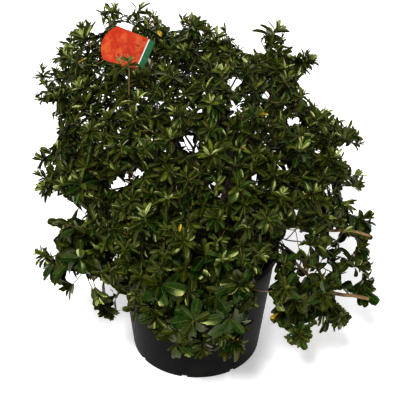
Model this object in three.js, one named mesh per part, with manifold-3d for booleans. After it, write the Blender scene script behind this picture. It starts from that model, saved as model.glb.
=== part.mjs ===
// An evergreen azalea in its nursery container: the pot, the potting mix that fills it, a short stem that
// forks into limbs, the boughs on those, and masses of foliage that each keep to their own space.
// Millimetres, +Z up. The origin is the middle of the pot's flat underside. -Y is the front, +X is on the right,
// and azimuths are in degrees from +X, anticlockwise seen from above.
import * as THREE from "three";
import { mergeVertices } from "three/addons/utils/BufferGeometryUtils.js";
import Module from "manifold-3d";

const wasm = await Module();
wasm.setup();

const GAP = 0.3; // between pieces that rest on or meet each other

// ---- Driving sizes ----------------------------------------------------------------------------------------

const POT = {
  height: 250,
  baseRadius: 129,
  shoulderRadius: 156, // the wall just under the rim
  rimRadius: 162,
  rimHeight: 20,
  wall: 2.6,
  floor: 3,
  edgeBevel: 4, // at the foot of the wall
  sides: 32,
  drainCount: 8,
  drainWidth: 12,
  drainHeight: 8,
  drainReach: 16, // how far a slot runs in from the wall's foot
  drainAzimuth: -145,
};

const MIX = { level: 226, mound: 5 }; // the potting mix, at the wall and how much higher it is at the stem

const STEM = {
  flareRadius: 24, // at the ground, across the root flare
  flareHeight: 16,
  waistRadius: 13,
  headRadius: 18, // the swelling that the limbs grow from
  length: 66,
  lean: 4, // sideways, at the top
  sides: 10,
};

const LIMB = { count: 6, firstAzimuth: -105, footRadius: 7, tipRadius: 4.2, sides: 6, steps: 6 };
const BOUGH = {
  footRadius: 4.2,
  tipRadius: 2.6,
  lift: new THREE.Vector3(0, 0, 26), // of its middle
  entry: 34, // how far into its mass's space it runs
  sides: 5,
  steps: 4,
};

// The crown is a dome round its heart. Its reach is where the outermost leaves end.
const CROWN = {
  heart: new THREE.Vector3(0, 0, 330),
  spread: 307,
  rise: 360,
  drop: 176,
  squareness: 2.6, // 2 is an ellipsoid, and more is a fuller shoulder
  puffDepth: 22, // how far each mass stands proud of the furrows round it
  puffAngle: 30,
};

// Where the crown stands out from that dome, or falls short of it: a direction, how wide it is, and how much.
const SWELLS = [
  { place: "left crest", azimuth: 151, climb: 37, width: 18, out: 67 },
  { place: "back crest", azimuth: 124, climb: 52, width: 18, out: 29 },
  { place: "hollow behind the top", azimuth: 83, climb: 57, width: 18, out: -40 },
  { place: "right crest's fall", azimuth: 45, climb: 48, width: 18, out: -22 },
  { place: "hollow over the right shelf", azimuth: 23, climb: 31, width: 18, out: -77 },
  { place: "right skirt", azimuth: -23, climb: -31, width: 18, out: 92 },
  { place: "right side", azimuth: -8, climb: -12, width: 18, out: 15 },
  { place: "left waist", azimuth: 180, climb: -2, width: 18, out: -38 },
  { place: "left shoulder", azimuth: 168, climb: 18, width: 18, out: -22 },
  { place: "left skirt", azimuth: -164, climb: -23, width: 18, out: 12 },
  { place: "front skirt", azimuth: -90, climb: -34, width: 18, out: 33 },
  { place: "right of the front skirt", azimuth: -55, climb: -32, width: 15, out: -50 },
  { place: "left of the front skirt", azimuth: -125, climb: -32, width: 15, out: -60 },
];

// The tiers of foliage. Each limb carries one mass of each tier, on a bough that leaves it at a share of its length.
const TIERS = [
  { name: "skirt", azimuths: [-90, -30, 30, 90, 150, 210], reach: 226, height: 286, leavesLimbAt: 0.38 },
  { name: "shoulder", azimuths: [-120, -60, 0, 60, 120, 180], reach: 206, height: 436, leavesLimbAt: 0.68 },
  { name: "top", azimuths: [-90, -18, 15, 54, 126, 198], reach: 130, height: 572, leavesLimbAt: 1 },
];
const MIDDLE_TOP = { limb: 2, reach: 8, height: 600 }; // the mass at the very top, in place of that limb's

// Shoots that end clear of the dome: where the tip of each is.
const SHOOTS = [
  { place: "top left", azimuth: 168, radius: 172, height: 742 },
  { place: "top", azimuth: 160, radius: 118, height: 727 },
  { place: "middle of the top", azimuth: 118, radius: 45, height: 720 },
  { place: "right of the top", azimuth: 30, radius: 80, height: 680 },
  { place: "right crest", azimuth: 14, radius: 166, height: 680 },
  { place: "right crest, outside", azimuth: 9, radius: 203, height: 636 },
  { place: "left crest", azimuth: 172, radius: 240, height: 680 },
  { place: "left, high", azimuth: 178, radius: 316, height: 598 },
  { place: "left, middle", azimuth: -174, radius: 320, height: 432 },
  { place: "left, lower", azimuth: 180, radius: 326, height: 372 },
  { place: "right, high", azimuth: -4, radius: 318, height: 496 },
  { place: "right, middle", azimuth: -8, radius: 322, height: 415 },
  { place: "right, lower", azimuth: -16, radius: 344, height: 300 },
  { place: "right, low", azimuth: -30, radius: 350, height: 186 },
  { place: "right front, low", azimuth: -46, radius: 298, height: 168 },
  { place: "left front, low", azimuth: -153, radius: 326, height: 262 },
  { place: "left front, lowest", azimuth: -127, radius: 282, height: 208 },
];

// The foliage of these solids is even on all sides, and its leaves are about twice life size.
const LEAF = { length: 58, width: 24, thickness: 1.8, widestAt: 0.56 };
const SPRIG = {
  count: 112, // over the dome
  depth: 40, // of the bud, inside the crown's reach
  leaves: 6,
  upright: 0.62, // how far the steepest leaf leans out from the bud's axis, and the most level one
  level: 1.48,
  apart: 11, // the least between the middles of two leaves of different sprigs
  twigRadius: 2.3,
  twigTip: 1.5,
  budRadius: 4,
  wander: 9, // how far a sprig strays from its even place
};

// The thick middle of each mass, where twigs and leaves are too close to part.
const CORE = {
  fill: 0.95, // of the room that it has on each side
  crown: 0.84, // of the crown's reach
  smoothing: 1.7, // the most that one corner stands out past its neighbours
  ragged: 0.28,
  tips: 36, // the length of its longest leaf tips
  lean: 0.5, // how far they lean up
  rear: -0.6, // past this it faces into the crown and has no tips
};

const LABEL = {
  centre: new THREE.Vector3(-134, -40, 681),
  length: 88,
  width: 64,
  thickness: 1,
  bow: 15, // how far the free end is rounded
  bend: 7, // the card's own curve, across its length
  roll: -19,
  tilt: 36, // back from upright
  turn: -6,
  strapWidth: 9,
  loopThickness: 1.6,
  loopAt: 0.5, // along the bough that it hangs on
  bough: "bough_top_6",
};

const COLOURS = {
  pot: 0x272726,
  mix: 0x3a2a1e,
  stem: 0x5f4a38,
  bough: 0x6d4f3a,
  foliage: [0x2f4413, 0x3a5018, 0x294010],
  label: 0xe2472c,
};

// ---- Small tools ------------------------------------------------------------------------------------------

const rad = THREE.MathUtils.degToRad;
const lerp = THREE.MathUtils.lerp;

// A repeatable stream of numbers from 0 to 1.
function stream(seed) {
  let state = seed >>> 0;
  return () => {
    state = (state + 0x6d2b79f5) >>> 0;
    let t = Math.imul(state ^ (state >>> 15), state | 1);
    t = (t + Math.imul(t ^ (t >>> 7), t | 61)) ^ t;
    return ((t ^ (t >>> 14)) >>> 0) / 4294967296;
  };
}

function around(azimuth, radius, height) {
  return new THREE.Vector3(radius * Math.cos(rad(azimuth)), radius * Math.sin(rad(azimuth)), height);
}

function towards(azimuth, climb) {
  return around(azimuth, Math.cos(rad(climb)), Math.sin(rad(climb)));
}

// A closed three.js geometry as a solid.
function solidOf(geometry) {
  const bare = new THREE.BufferGeometry();
  bare.setAttribute("position", geometry.getAttribute("position"));
  if (geometry.index) bare.setIndex(geometry.index);
  const merged = mergeVertices(bare, 1e-4);
  return new wasm.Manifold(
    new wasm.Mesh({
      numProp: 3,
      vertProperties: merged.getAttribute("position").array,
      triVerts: new Uint32Array(merged.index.array),
    }),
  );
}

// The largest piece of a solid, as a geometry: a loose scrap of a cut is dropped.
function geometryOf(solid) {
  const pieces = solid.decompose().sort((a, b) => b.volume() - a.volume());
  const mesh = pieces[0].getMesh();
  const geometry = new THREE.BufferGeometry();
  geometry.setAttribute("position", new THREE.BufferAttribute(mesh.vertProperties, 3));
  geometry.setIndex(new THREE.BufferAttribute(mesh.triVerts, 1));
  geometry.computeVertexNormals();
  return geometry;
}

function material(colour, roughness) {
  return new THREE.MeshStandardMaterial({ color: colour, roughness, metalness: 0, flatShading: true });
}

function piece(name, geometry, finish) {
  const mesh = new THREE.Mesh(geometry, finish);
  mesh.name = name;
  return mesh;
}

// A tapering limb along points, as rings of a few corners. Its two ends are flat.
function taper(points, radii, sides) {
  const rings = points.length;
  const positions = [];
  const side = new THREE.Vector3();
  const other = new THREE.Vector3();
  const start = points[1].clone().sub(points[0]).normalize();
  const across = Math.abs(start.z) > 0.9 ? new THREE.Vector3(1, 0, 0) : new THREE.Vector3(0, 0, 1);
  points.forEach((point, ring) => {
    const before = points[Math.max(ring - 1, 0)];
    const after = points[Math.min(ring + 1, rings - 1)];
    const along = after.clone().sub(before).normalize();
    side.copy(across).addScaledVector(along, -across.dot(along)).normalize();
    across.copy(side);
    other.crossVectors(along, side);
    for (let corner = 0; corner < sides; corner += 1) {
      const turn = (2 * Math.PI * corner) / sides;
      const at = point
        .clone()
        .addScaledVector(side, radii[ring] * Math.cos(turn))
        .addScaledVector(other, radii[ring] * Math.sin(turn));
      positions.push(at.x, at.y, at.z);
    }
  });
  const faces = [];
  for (let ring = 0; ring < rings - 1; ring += 1) {
    for (let corner = 0; corner < sides; corner += 1) {
      const a = ring * sides + corner;
      const b = ring * sides + ((corner + 1) % sides);
      faces.push(a, b, b + sides, a, b + sides, a + sides);
    }
  }
  const last = (rings - 1) * sides;
  for (let corner = 1; corner < sides - 1; corner += 1) {
    faces.push(0, corner + 1, corner);
    faces.push(last, last + corner, last + corner + 1);
  }
  const geometry = new THREE.BufferGeometry();
  geometry.setAttribute("position", new THREE.Float32BufferAttribute(positions, 3));
  geometry.setIndex(faces);
  return geometry;
}

// How far a point is from a stretch of limb, less the limb's own radius there.
function clearance(point, stretch) {
  const along = stretch.to.clone().sub(stretch.from);
  const share = THREE.MathUtils.clamp(point.clone().sub(stretch.from).dot(along) / along.lengthSq(), 0, 1);
  return point.distanceTo(stretch.from.clone().addScaledVector(along, share)) - stretch.radius;
}

// ---- Pot and potting mix ----------------------------------------------------------------------------------

function makePot() {
  const { height, baseRadius, shoulderRadius, rimRadius, rimHeight, wall, floor, edgeBevel } = POT;
  const underRim = height - rimHeight;
  const profile = [
    [0, 0],
    [baseRadius - edgeBevel, 0],
    [baseRadius, edgeBevel],
    [shoulderRadius, underRim],
    [rimRadius, underRim],
    [rimRadius, height - 2],
    [rimRadius - 2, height],
    [shoulderRadius - wall + 2, height],
    [shoulderRadius - wall, height - 3],
    [baseRadius - wall, floor],
    [0, floor],
  ].map(([r, z]) => new THREE.Vector2(r, z));
  const shell = new THREE.LatheGeometry(profile, POT.sides).rotateX(Math.PI / 2);
  let pot = solidOf(shell);
  const reach = POT.drainReach + 20;
  for (let slot = 0; slot < POT.drainCount; slot += 1) {
    const azimuth = POT.drainAzimuth + (360 * slot) / POT.drainCount;
    const cutter = new THREE.BoxGeometry(reach, POT.drainWidth, 2 * POT.drainHeight);
    cutter.translate(baseRadius - POT.drainReach + reach / 2, 0, 0);
    cutter.rotateZ(rad(azimuth));
    pot = pot.subtract(solidOf(cutter));
  }
  return geometryOf(pot);
}

function makeMix() {
  const { baseRadius, shoulderRadius, wall, floor, height } = POT;
  const foot = floor + GAP;
  const slope = (shoulderRadius - baseRadius) / (height - 3 - floor);
  const inside = (z) => baseRadius - wall + slope * (z - floor) - 2 * GAP;
  const profile = [
    [0, foot],
    [inside(foot), foot],
    [inside(MIX.level), MIX.level],
    [60, MIX.level + MIX.mound],
    [0, MIX.level + MIX.mound],
  ].map(([r, z]) => new THREE.Vector2(r, z));
  return new THREE.LatheGeometry(profile, POT.sides).rotateX(Math.PI / 2);
}

// ---- Stem, limbs and boughs -------------------------------------------------------------------------------

const groundLevel = MIX.level + MIX.mound + GAP;
const fork = new THREE.Vector3(STEM.lean, 0, groundLevel + STEM.length - STEM.headRadius);

function makeStem() {
  const { flareRadius, flareHeight, waistRadius, headRadius, length, lean } = STEM;
  const stations = [
    [0, flareRadius],
    [flareHeight * 0.4, lerp(flareRadius, waistRadius, 0.6)],
    [flareHeight, waistRadius * 1.08],
    [length * 0.45, waistRadius],
    [length - headRadius * 1.2, headRadius],
    [length - headRadius * 0.4, headRadius * 0.96],
    [length, headRadius * 0.55],
  ];
  const points = stations.map(([up]) => new THREE.Vector3((lean * up) / length, 0, groundLevel + up));
  const geometry = taper(points, stations.map(([, radius]) => radius), STEM.sides);
  // The root flare stands on flat ground.
  const place = geometry.getAttribute("position");
  for (let corner = 0; corner < STEM.sides; corner += 1) place.setZ(corner, groundLevel);
  return geometry;
}

// The middle of each mass, and the limb that carries it.
const masses = TIERS.flatMap((tier) =>
  tier.azimuths.map((azimuth, limb) => {
    const middle = tier.name === "top" && limb === MIDDLE_TOP.limb;
    const centre = middle
      ? around(azimuth, MIDDLE_TOP.reach, MIDDLE_TOP.height)
      : around(azimuth, tier.reach, tier.height);
    return { name: `${tier.name}_${limb + 1}`, tier, limb, centre };
  }),
);

// A limb climbs outwards from the fork and then turns up towards the top mass that it carries.
function limbPath(limb) {
  const azimuth = LIMB.firstAzimuth + (360 * limb) / LIMB.count;
  const top = masses.find((mass) => mass.name === `top_${limb + 1}`).centre;
  const tip = top.clone().lerp(around(azimuth, 74, 430), 0.8);
  return new THREE.CatmullRomCurve3([
    fork.clone(),
    around(azimuth, 30, fork.z + 24).add(new THREE.Vector3(STEM.lean, 0, 0)),
    around(azimuth, 62, 368),
    tip,
  ]);
}

// A mass's own space is all that is nearer to its middle than to another's, or to the heart of the crown.
function insideCell(point, mass, margin) {
  const own = point.distanceToSquared(mass.centre);
  const others = masses.filter((other) => other !== mass).map((other) => other.centre);
  return [...others, CROWN.heart].every((centre) => {
    const apart = centre.distanceTo(mass.centre);
    return (point.distanceToSquared(centre) - own) / (2 * apart) > margin;
  });
}

// A bough bows from its limb towards the middle of its mass. It lifts first and then levels out, and it ends
// a little way into the mass's space. A top bough carries on from its limb's end.
function boughPath(mass, limbCurve) {
  const foot = limbCurve.getPointAt(mass.tier.leavesLimbAt);
  const heading = limbCurve.getTangentAt(mass.tier.leavesLimbAt);
  const last = mass.tier.leavesLimbAt === 1;
  const lift = last ? heading.clone().multiplyScalar(mass.centre.distanceTo(foot) * 0.3) : BOUGH.lift;
  if (last) foot.addScaledVector(heading, GAP);
  const bend = foot.clone().lerp(mass.centre, 0.4).add(lift);
  const full = new THREE.QuadraticBezierCurve3(foot, bend, mass.centre);
  let end = 0.1;
  while (end < 1 && !insideCell(full.getPointAt(end), mass, BOUGH.entry)) end += 0.02;
  return Array.from({ length: BOUGH.steps + 1 }, (_, step) => full.getPointAt((end * step) / BOUGH.steps));
}

function radiiAlong(count, foot, tip) {
  return Array.from({ length: count }, (_, i) => lerp(foot, tip, i / (count - 1)));
}

function stretches(points, radii) {
  return points.slice(1).map((to, i) => ({ from: points[i], to, radius: Math.max(radii[i], radii[i + 1]) }));
}

// Limbs and boughs are cut to sit against what they grow from. Each also has a grown form, larger by the gap.
function makeLimbs() {
  const grownStem = makeGrownStem();
  const limbs = [];
  for (let limb = 0; limb < LIMB.count; limb += 1) {
    const curve = limbPath(limb);
    const points = curve.getSpacedPoints(LIMB.steps);
    const radii = radiiAlong(points.length, LIMB.footRadius, LIMB.tipRadius);
    const whole = solidOf(taper(points, radii, LIMB.sides));
    const solid = limbs.reduce((rest, other) => rest.subtract(other.grown), whole.subtract(grownStem));
    const grown = solidOf(taper(points, radii.map((r) => r + GAP * 1.2), LIMB.sides));
    limbs.push({ curve, points, radii, solid, grown });
  }
  return limbs;
}

// The stem with the gap round it that the limbs keep to.
function makeGrownStem() {
  const swollen = makeStem();
  const place = swollen.getAttribute("position");
  for (let i = 0; i < place.count; i += 1) {
    const up = place.getZ(i) - groundLevel;
    const middle = (STEM.lean * up) / STEM.length;
    const out = new THREE.Vector2(place.getX(i) - middle, place.getY(i));
    out.setLength(out.length() + GAP * 1.3);
    place.setXYZ(i, middle + out.x, out.y, place.getZ(i) + (up > 1 ? GAP * 1.3 : -GAP));
  }
  return solidOf(swollen);
}

function makeBoughs(limbs) {
  return masses.map((mass) => {
    const limb = limbs[mass.limb];
    const points = boughPath(mass, limb.curve);
    const radii = radiiAlong(points.length, BOUGH.footRadius, BOUGH.tipRadius);
    const solid = solidOf(taper(points, radii, BOUGH.sides)).subtract(limb.grown);
    const heading = points.at(-1).clone().sub(points.at(-2)).normalize();
    const longer = [...points.slice(0, -1), points.at(-1).clone().addScaledVector(heading, GAP * 0.9)];
    const grown = solidOf(taper(longer, radii.map((r) => r + GAP * 1.25), BOUGH.sides));
    return { mass, points, radii, solid, grown };
  });
}

// ---- The crown's reach ------------------------------------------------------------------------------------

// How far the crown reaches from its heart in a direction.
function reach(direction) {
  const level = Math.hypot(direction.x, direction.y) / CROWN.spread;
  const upright = Math.abs(direction.z) / (direction.z > 0 ? CROWN.rise : CROWN.drop);
  const n = CROWN.squareness;
  let far = (level ** n + upright ** n) ** (-1 / n);
  const nearest = Math.min(
    ...masses.map((mass) => direction.angleTo(mass.centre.clone().sub(CROWN.heart).normalize())),
  );
  far += CROWN.puffDepth * (0.4 - Math.min(1, nearest / rad(CROWN.puffAngle)) ** 2);
  SWELLS.forEach((swell) => {
    const off = direction.angleTo(towards(swell.azimuth, swell.climb)) / rad(swell.width);
    far += swell.out * Math.exp(-off * off);
  });
  return far;
}

// Even directions from the heart, by the golden angle, from straight up to well below level.
function directions(count, lowest) {
  const golden = Math.PI * (3 - Math.sqrt(5));
  return Array.from({ length: count }, (_, i) => {
    const z = 1 - ((1 - lowest) * (i + 0.5)) / count;
    const level = Math.sqrt(1 - z * z);
    return new THREE.Vector3(level * Math.cos(golden * i), level * Math.sin(golden * i), z);
  });
}

function clearOfPot(point, margin) {
  const radius = Math.hypot(point.x, point.y);
  if (point.z > POT.height + margin) return true;
  return radius > POT.rimRadius + margin;
}

// Where the sprigs stand: evenly over the dome, and at the ends of the long shoots.
function sprigPlaces() {
  const random = stream(7);
  const stray = () => (random() - 0.5) * 2 * SPRIG.wander;
  const places = [];
  directions(SPRIG.count, -0.5).forEach((direction) => {
    const at = CROWN.heart.clone().addScaledVector(direction, reach(direction) - SPRIG.depth);
    at.add(new THREE.Vector3(stray(), stray(), stray()));
    if (clearOfPot(at, 18)) places.push(at);
  });
  SHOOTS.forEach((shoot) => {
    const tip = around(shoot.azimuth, shoot.radius, shoot.height);
    const inward = tip.clone().sub(CROWN.heart).normalize();
    places.push(tip.addScaledVector(inward, -LEAF.length * 0.62));
  });
  return places;
}

// ---- The label --------------------------------------------------------------------------------------------

const labelTurn = new THREE.Matrix4().multiplyMatrices(
  new THREE.Matrix4().makeRotationZ(rad(LABEL.turn)),
  new THREE.Matrix4()
    .makeRotationX(rad(90 - LABEL.tilt))
    .multiply(new THREE.Matrix4().makeRotationZ(rad(LABEL.roll))),
);

// A point of the card, from its own length and width.
function onCard(along, across, lift = 0) {
  const sag = LABEL.bend * ((2 * along) / LABEL.length) ** 2;
  return new THREE.Vector3(along, across, lift - sag).applyMatrix4(labelTurn).add(LABEL.centre);
}

// The card, a strap from its square end and the loop that holds the strap on a bough. Foliage keeps out of a
// row of thin strips along the card, and off the strap and the loop.
function makeLabel(boughs) {
  const half = LABEL.length / 2;
  const outline = new THREE.Shape();
  outline.moveTo(half, -LABEL.width / 2);
  outline.lineTo(half, LABEL.width / 2);
  outline.lineTo(-half + LABEL.bow, LABEL.width / 2);
  outline.quadraticCurveTo(-half - LABEL.bow, 0, -half + LABEL.bow, -LABEL.width / 2);
  const flat = new THREE.ExtrudeGeometry(outline, {
    depth: LABEL.thickness,
    bevelEnabled: false,
    curveSegments: 8,
  });
  const place = flat.getAttribute("position");
  for (let i = 0; i < place.count; i += 1) {
    const at = onCard(place.getX(i), place.getY(i), place.getZ(i));
    place.setXYZ(i, at.x, at.y, at.z);
  }
  const bough = boughs.find((b) => b.mass.name === LABEL.bough.replace("bough_", ""));
  const step = Math.ceil(LABEL.loopAt * (bough.points.length - 1));
  const ringCentre = bough.points[step].clone().lerp(bough.points[step - 1], 0.5);
  const heading = bough.points[step].clone().sub(bough.points[step - 1]).normalize();
  const inner = (bough.radii[step - 1] + GAP) / Math.cos(Math.PI / 12);
  const outer = inner + LABEL.loopThickness;
  const h = LABEL.strapWidth / 2;
  const section = [[inner, -h], [outer, -h], [outer, h], [inner, h], [inner, -h]];
  const ring = new THREE.LatheGeometry(section.map(([r, y]) => new THREE.Vector2(r, y)), 12);
  ring.applyQuaternion(new THREE.Quaternion().setFromUnitVectors(new THREE.Vector3(0, 1, 0), heading));
  ring.translate(ringCentre.x, ringCentre.y, ringCentre.z);
  const from = onCard(half - 6, 0, LABEL.thickness / 2);
  const leaving = onCard(half + 26, 0, LABEL.thickness / 2);
  const towardsCard = leaving.clone().sub(ringCentre);
  towardsCard.addScaledVector(heading, -towardsCard.dot(heading)).normalize();
  const to = ringCentre.clone().addScaledVector(towardsCard, outer + 0.2);
  const route = new THREE.QuadraticBezierCurve3(from, leaving, to).getPoints(6);
  const strap = taper(route, radiiAlong(route.length, 1.6, 1.2), 4);
  const solid = solidOf(flat).add(solidOf(strap)).add(solidOf(ring));
  const ringEnds = [-h, h].map((along) => ringCentre.clone().addScaledVector(heading, along));
  const keepOut = [
    ...stretches(route, radiiAlong(route.length, 2, 2)),
    { from: ringEnds[0], to: ringEnds[1], radius: outer },
  ];
  const strips = 5;
  for (let strip = 0; strip < strips; strip += 1) {
    const across = LABEL.width * ((strip + 0.5) / strips - 0.5);
    for (const [a, b] of [[-0.5, -0.17], [-0.17, 0.17], [0.17, 0.5]]) {
      keepOut.push({
        from: onCard(a * LABEL.length, across),
        to: onCard(b * LABEL.length, across),
        radius: LABEL.width / strips / 2 + 3,
      });
    }
  }
  return { geometry: geometryOf(solid), keepOut };
}

// ---- Foliage ----------------------------------------------------------------------------------------------

// The ridge, left edge, right edge and tip of a leaf.
function makeBlade(root, axis, out, side, spread, length) {
  const along = axis.clone().multiplyScalar(Math.cos(spread)).addScaledVector(out, Math.sin(spread));
  const up = new THREE.Vector3().crossVectors(along, side);
  const half = (LEAF.width * length) / LEAF.length / 2;
  const waist = root.clone().addScaledVector(along, length * LEAF.widestAt);
  return [
    waist.clone().addScaledVector(up, LEAF.thickness),
    waist.clone().addScaledVector(side, -half),
    waist.clone().addScaledVector(side, half),
    root.clone().addScaledVector(along, length),
  ];
}

// A sprig is a three-sided twig that ends in a bud, with leaves drawn out of the bud's upper faces. A leaf has
// two edges, a ridge and a tip, and where there is no room for one the bud keeps its plain face.
// The twig's path starts inside an older twig and ends under the bud, which points along axis.
function makeSprig(path, at, axis, random, fits) {
  const across = new THREE.Vector3().crossVectors(axis, new THREE.Vector3(0.3, 0.2, 1)).normalize();
  const other = new THREE.Vector3().crossVectors(axis, across);
  const outwards = (turn) => across.clone().multiplyScalar(Math.cos(turn)).addScaledVector(other, Math.sin(turn));
  const first = random() * 2 * Math.PI;
  const sector = (2 * Math.PI) / SPRIG.leaves;
  const corners = [at.clone().addScaledVector(axis, SPRIG.budRadius)];
  for (let leaf = 0; leaf < SPRIG.leaves; leaf += 1) {
    corners.push(at.clone().addScaledVector(outwards(first + sector * leaf), SPRIG.budRadius));
  }
  const faces = [];
  const leaves = [];
  for (let leaf = 0; leaf < SPRIG.leaves; leaf += 1) {
    const root = [0, 1 + leaf, 1 + ((leaf + 1) % SPRIG.leaves)];
    const out = outwards(first + sector * (leaf + 0.5 + 0.16 * (random() - 0.5)));
    const side = new THREE.Vector3().crossVectors(axis, out).normalize();
    const spread = lerp(SPRIG.upright, SPRIG.level, (((leaf * 5) % SPRIG.leaves) * 0.8 + random()) / SPRIG.leaves);
    const size = lerp(0.84, 1, random());
    // A leaf without room is tried smaller and closer to the axis.
    const blade = [1, 0.86, 0.74]
      .map((ease) => makeBlade(at, axis, out, side, spread * ease, LEAF.length * size * ease))
      .find((tried) => fits(at, tried));
    if (!blade) {
      faces.push(...root);
      continue;
    }
    const ridge = corners.push(...blade) - 4;
    for (let i = 0; i < 3; i += 1) {
      const j = (i + 1) % 3;
      faces.push(root[i], root[j], ridge + j, root[i], ridge + j, ridge + i);
      faces.push(ridge + i, ridge + j, ridge + 3);
    }
    leaves.push({ from: at, to: blade[3], radius: 0 });
  }
  // The twig runs back from the bud. Each of its three corners serves two of the bud's.
  const turns = [0, 1, 2].map((corner) => first + sector * (2 * corner + 0.5));
  let arms = turns.map(outwards);
  let ring = corners.length;
  const under = at.clone().addScaledVector(axis, -SPRIG.budRadius);
  arms.forEach((arm) => corners.push(under.clone().addScaledVector(arm, SPRIG.twigTip)));
  for (let corner = 0; corner < 3; corner += 1) {
    const [left, right, next] = [0, 1, 2].map((step) => 1 + ((2 * corner + step) % SPRIG.leaves));
    const after = ring + ((corner + 1) % 3);
    faces.push(left, ring + corner, right, right, ring + corner, after, right, after, next);
  }
  [...path].reverse().forEach((point, step, back) => {
    const ahead = step === 0 ? under : back[step - 1];
    const along = point.clone().sub(ahead).normalize();
    arms = arms.map((arm) => arm.clone().addScaledVector(along, -arm.dot(along)).normalize());
    arms.forEach((arm) => corners.push(point.clone().addScaledVector(arm, SPRIG.twigRadius)));
    for (let corner = 0; corner < 3; corner += 1) {
      const [a, b] = [ring + corner, ring + ((corner + 1) % 3)];
      faces.push(a, a + 3, b, b, a + 3, b + 3);
    }
    ring += 3;
  });
  faces.push(ring, ring + 2, ring + 1);
  const geometry = new THREE.BufferGeometry();
  geometry.setAttribute("position", new THREE.Float32BufferAttribute(corners.flatMap((c) => c.toArray()), 3));
  geometry.setIndex(faces);
  return { solid: solidOf(geometry), leaves };
}

// A mass's twigs: each sprig joins the twig that is near and leads back to the stem by a short way.
function growTwigs(bough, places) {
  const start = bough.points.at(-1);
  const heading = start.clone().sub(bough.points.at(-2)).normalize();
  const root = start.clone().addScaledVector(heading, GAP);
  const nodes = [
    { at: root, from: -1, way: 0 },
    { at: root.clone().addScaledVector(heading, 16), from: 0, way: 16 },
    { at: bough.mass.centre, from: 1, way: bough.mass.centre.distanceTo(root) },
  ];
  const sorted = [...places].sort((a, b) => a.distanceTo(root) - b.distanceTo(root));
  sorted.forEach((place) => {
    let best = 1;
    let least = Infinity;
    nodes.forEach((node, i) => {
      if (i === 0) return;
      const cost = node.at.distanceTo(place) + 0.3 * node.way;
      if (cost < least) [best, least] = [i, cost];
    });
    const from = nodes[best];
    const bow = from.at.distanceTo(place) * 0.08;
    const middle = from.at.clone().lerp(place, 0.55).add(new THREE.Vector3(0, 0, -bow));
    nodes.push({ at: middle, from: best, way: from.way + middle.distanceTo(from.at) });
    const end = { at: place, from: nodes.length - 1, sprig: true };
    end.way = nodes[end.from].way + place.distanceTo(middle);
    nodes.push(end);
  });
  return nodes;
}

// The core swells from the middle of its mass until it nears the edge of the mass's space or of the crown. Where
// it faces out of the crown it is ragged with leaf tips: each face is drawn to a point that leans up.
function makeCore(mass, clear, random) {
  const ball = new THREE.IcosahedronGeometry(1, 1);
  ball.deleteAttribute("normal");
  ball.deleteAttribute("uv");
  const core = mergeVertices(ball, 1e-4);
  const place = core.getAttribute("position");
  const ways = Array.from({ length: place.count }, (_, i) => new THREE.Vector3().fromBufferAttribute(place, i));
  const middle = mass.centre;
  const outward = middle.clone().sub(CROWN.heart).normalize();
  const inside = (point) => {
    const out = point.clone().sub(CROWN.heart);
    return out.length() < CORE.crown * reach(out.clone().normalize()) && clear(point, 2);
  };
  const room = ways.map((way) => {
    let far = 4;
    while (far < 160 && inside(middle.clone().addScaledVector(way, far / CORE.fill))) far += 3;
    return far;
  });
  const far = ways.map((way, i) => {
    const near = ways.map((other, j) => (way.angleTo(other) < 0.75 ? room[j] : Infinity));
    return Math.min(room[i], CORE.smoothing * Math.min(...near)) * lerp(1 - CORE.ragged, 1, random());
  });
  const lifts = Array.from({ length: core.index.count / 3 }, () => lerp(CORE.tips * 0.5, CORE.tips, random()));
  let corners;
  let faces;
  // A face that comes too near wood, the pot or the label is drawn in, a little at a time.
  for (let turn = 0; turn < 14; turn += 1) {
    corners = ways.map((way, i) => middle.clone().addScaledVector(way, far[i]));
    faces = [];
    const close = new Set();
    lifts.forEach((lift, i) => {
      const [a, b, c] = [0, 1, 2].map((step) => core.index.getX(3 * i + step));
      const plain = corners[a].clone().add(corners[b]).add(corners[c]).divideScalar(3);
      const way = plain.clone().sub(middle).normalize();
      const leaning = way.clone().setZ(way.z + CORE.lean).normalize();
      const tip = plain.clone().addScaledVector(leaning, lift);
      const drawn = way.dot(outward) > CORE.rear && clear(tip, 1);
      const peak = drawn ? tip : plain;
      const lines = [[a, b], [b, c], [c, a]].map((ends) => ends.map((end) => corners[end]));
      lines.push(...[a, b, c].map((end) => [corners[end], peak]));
      const free = ([from, to]) => [0.25, 0.5, 0.75].every((share) => clear(from.clone().lerp(to, share), 1.5));
      if (!lines.every(free)) [a, b, c].forEach((corner) => close.add(corner));
      if (!drawn) {
        faces.push(a, b, c);
        return;
      }
      const point = corners.push(tip) - 1;
      faces.push(a, b, point, b, c, point, c, a, point);
    });
    if (close.size === 0) break;
    close.forEach((corner) => (far[corner] *= 0.88));
  }
  const geometry = new THREE.BufferGeometry();
  geometry.setAttribute("position", new THREE.Float32BufferAttribute(corners.flatMap((at) => at.toArray()), 3));
  geometry.setIndex(faces);
  return solidOf(geometry);
}

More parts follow.
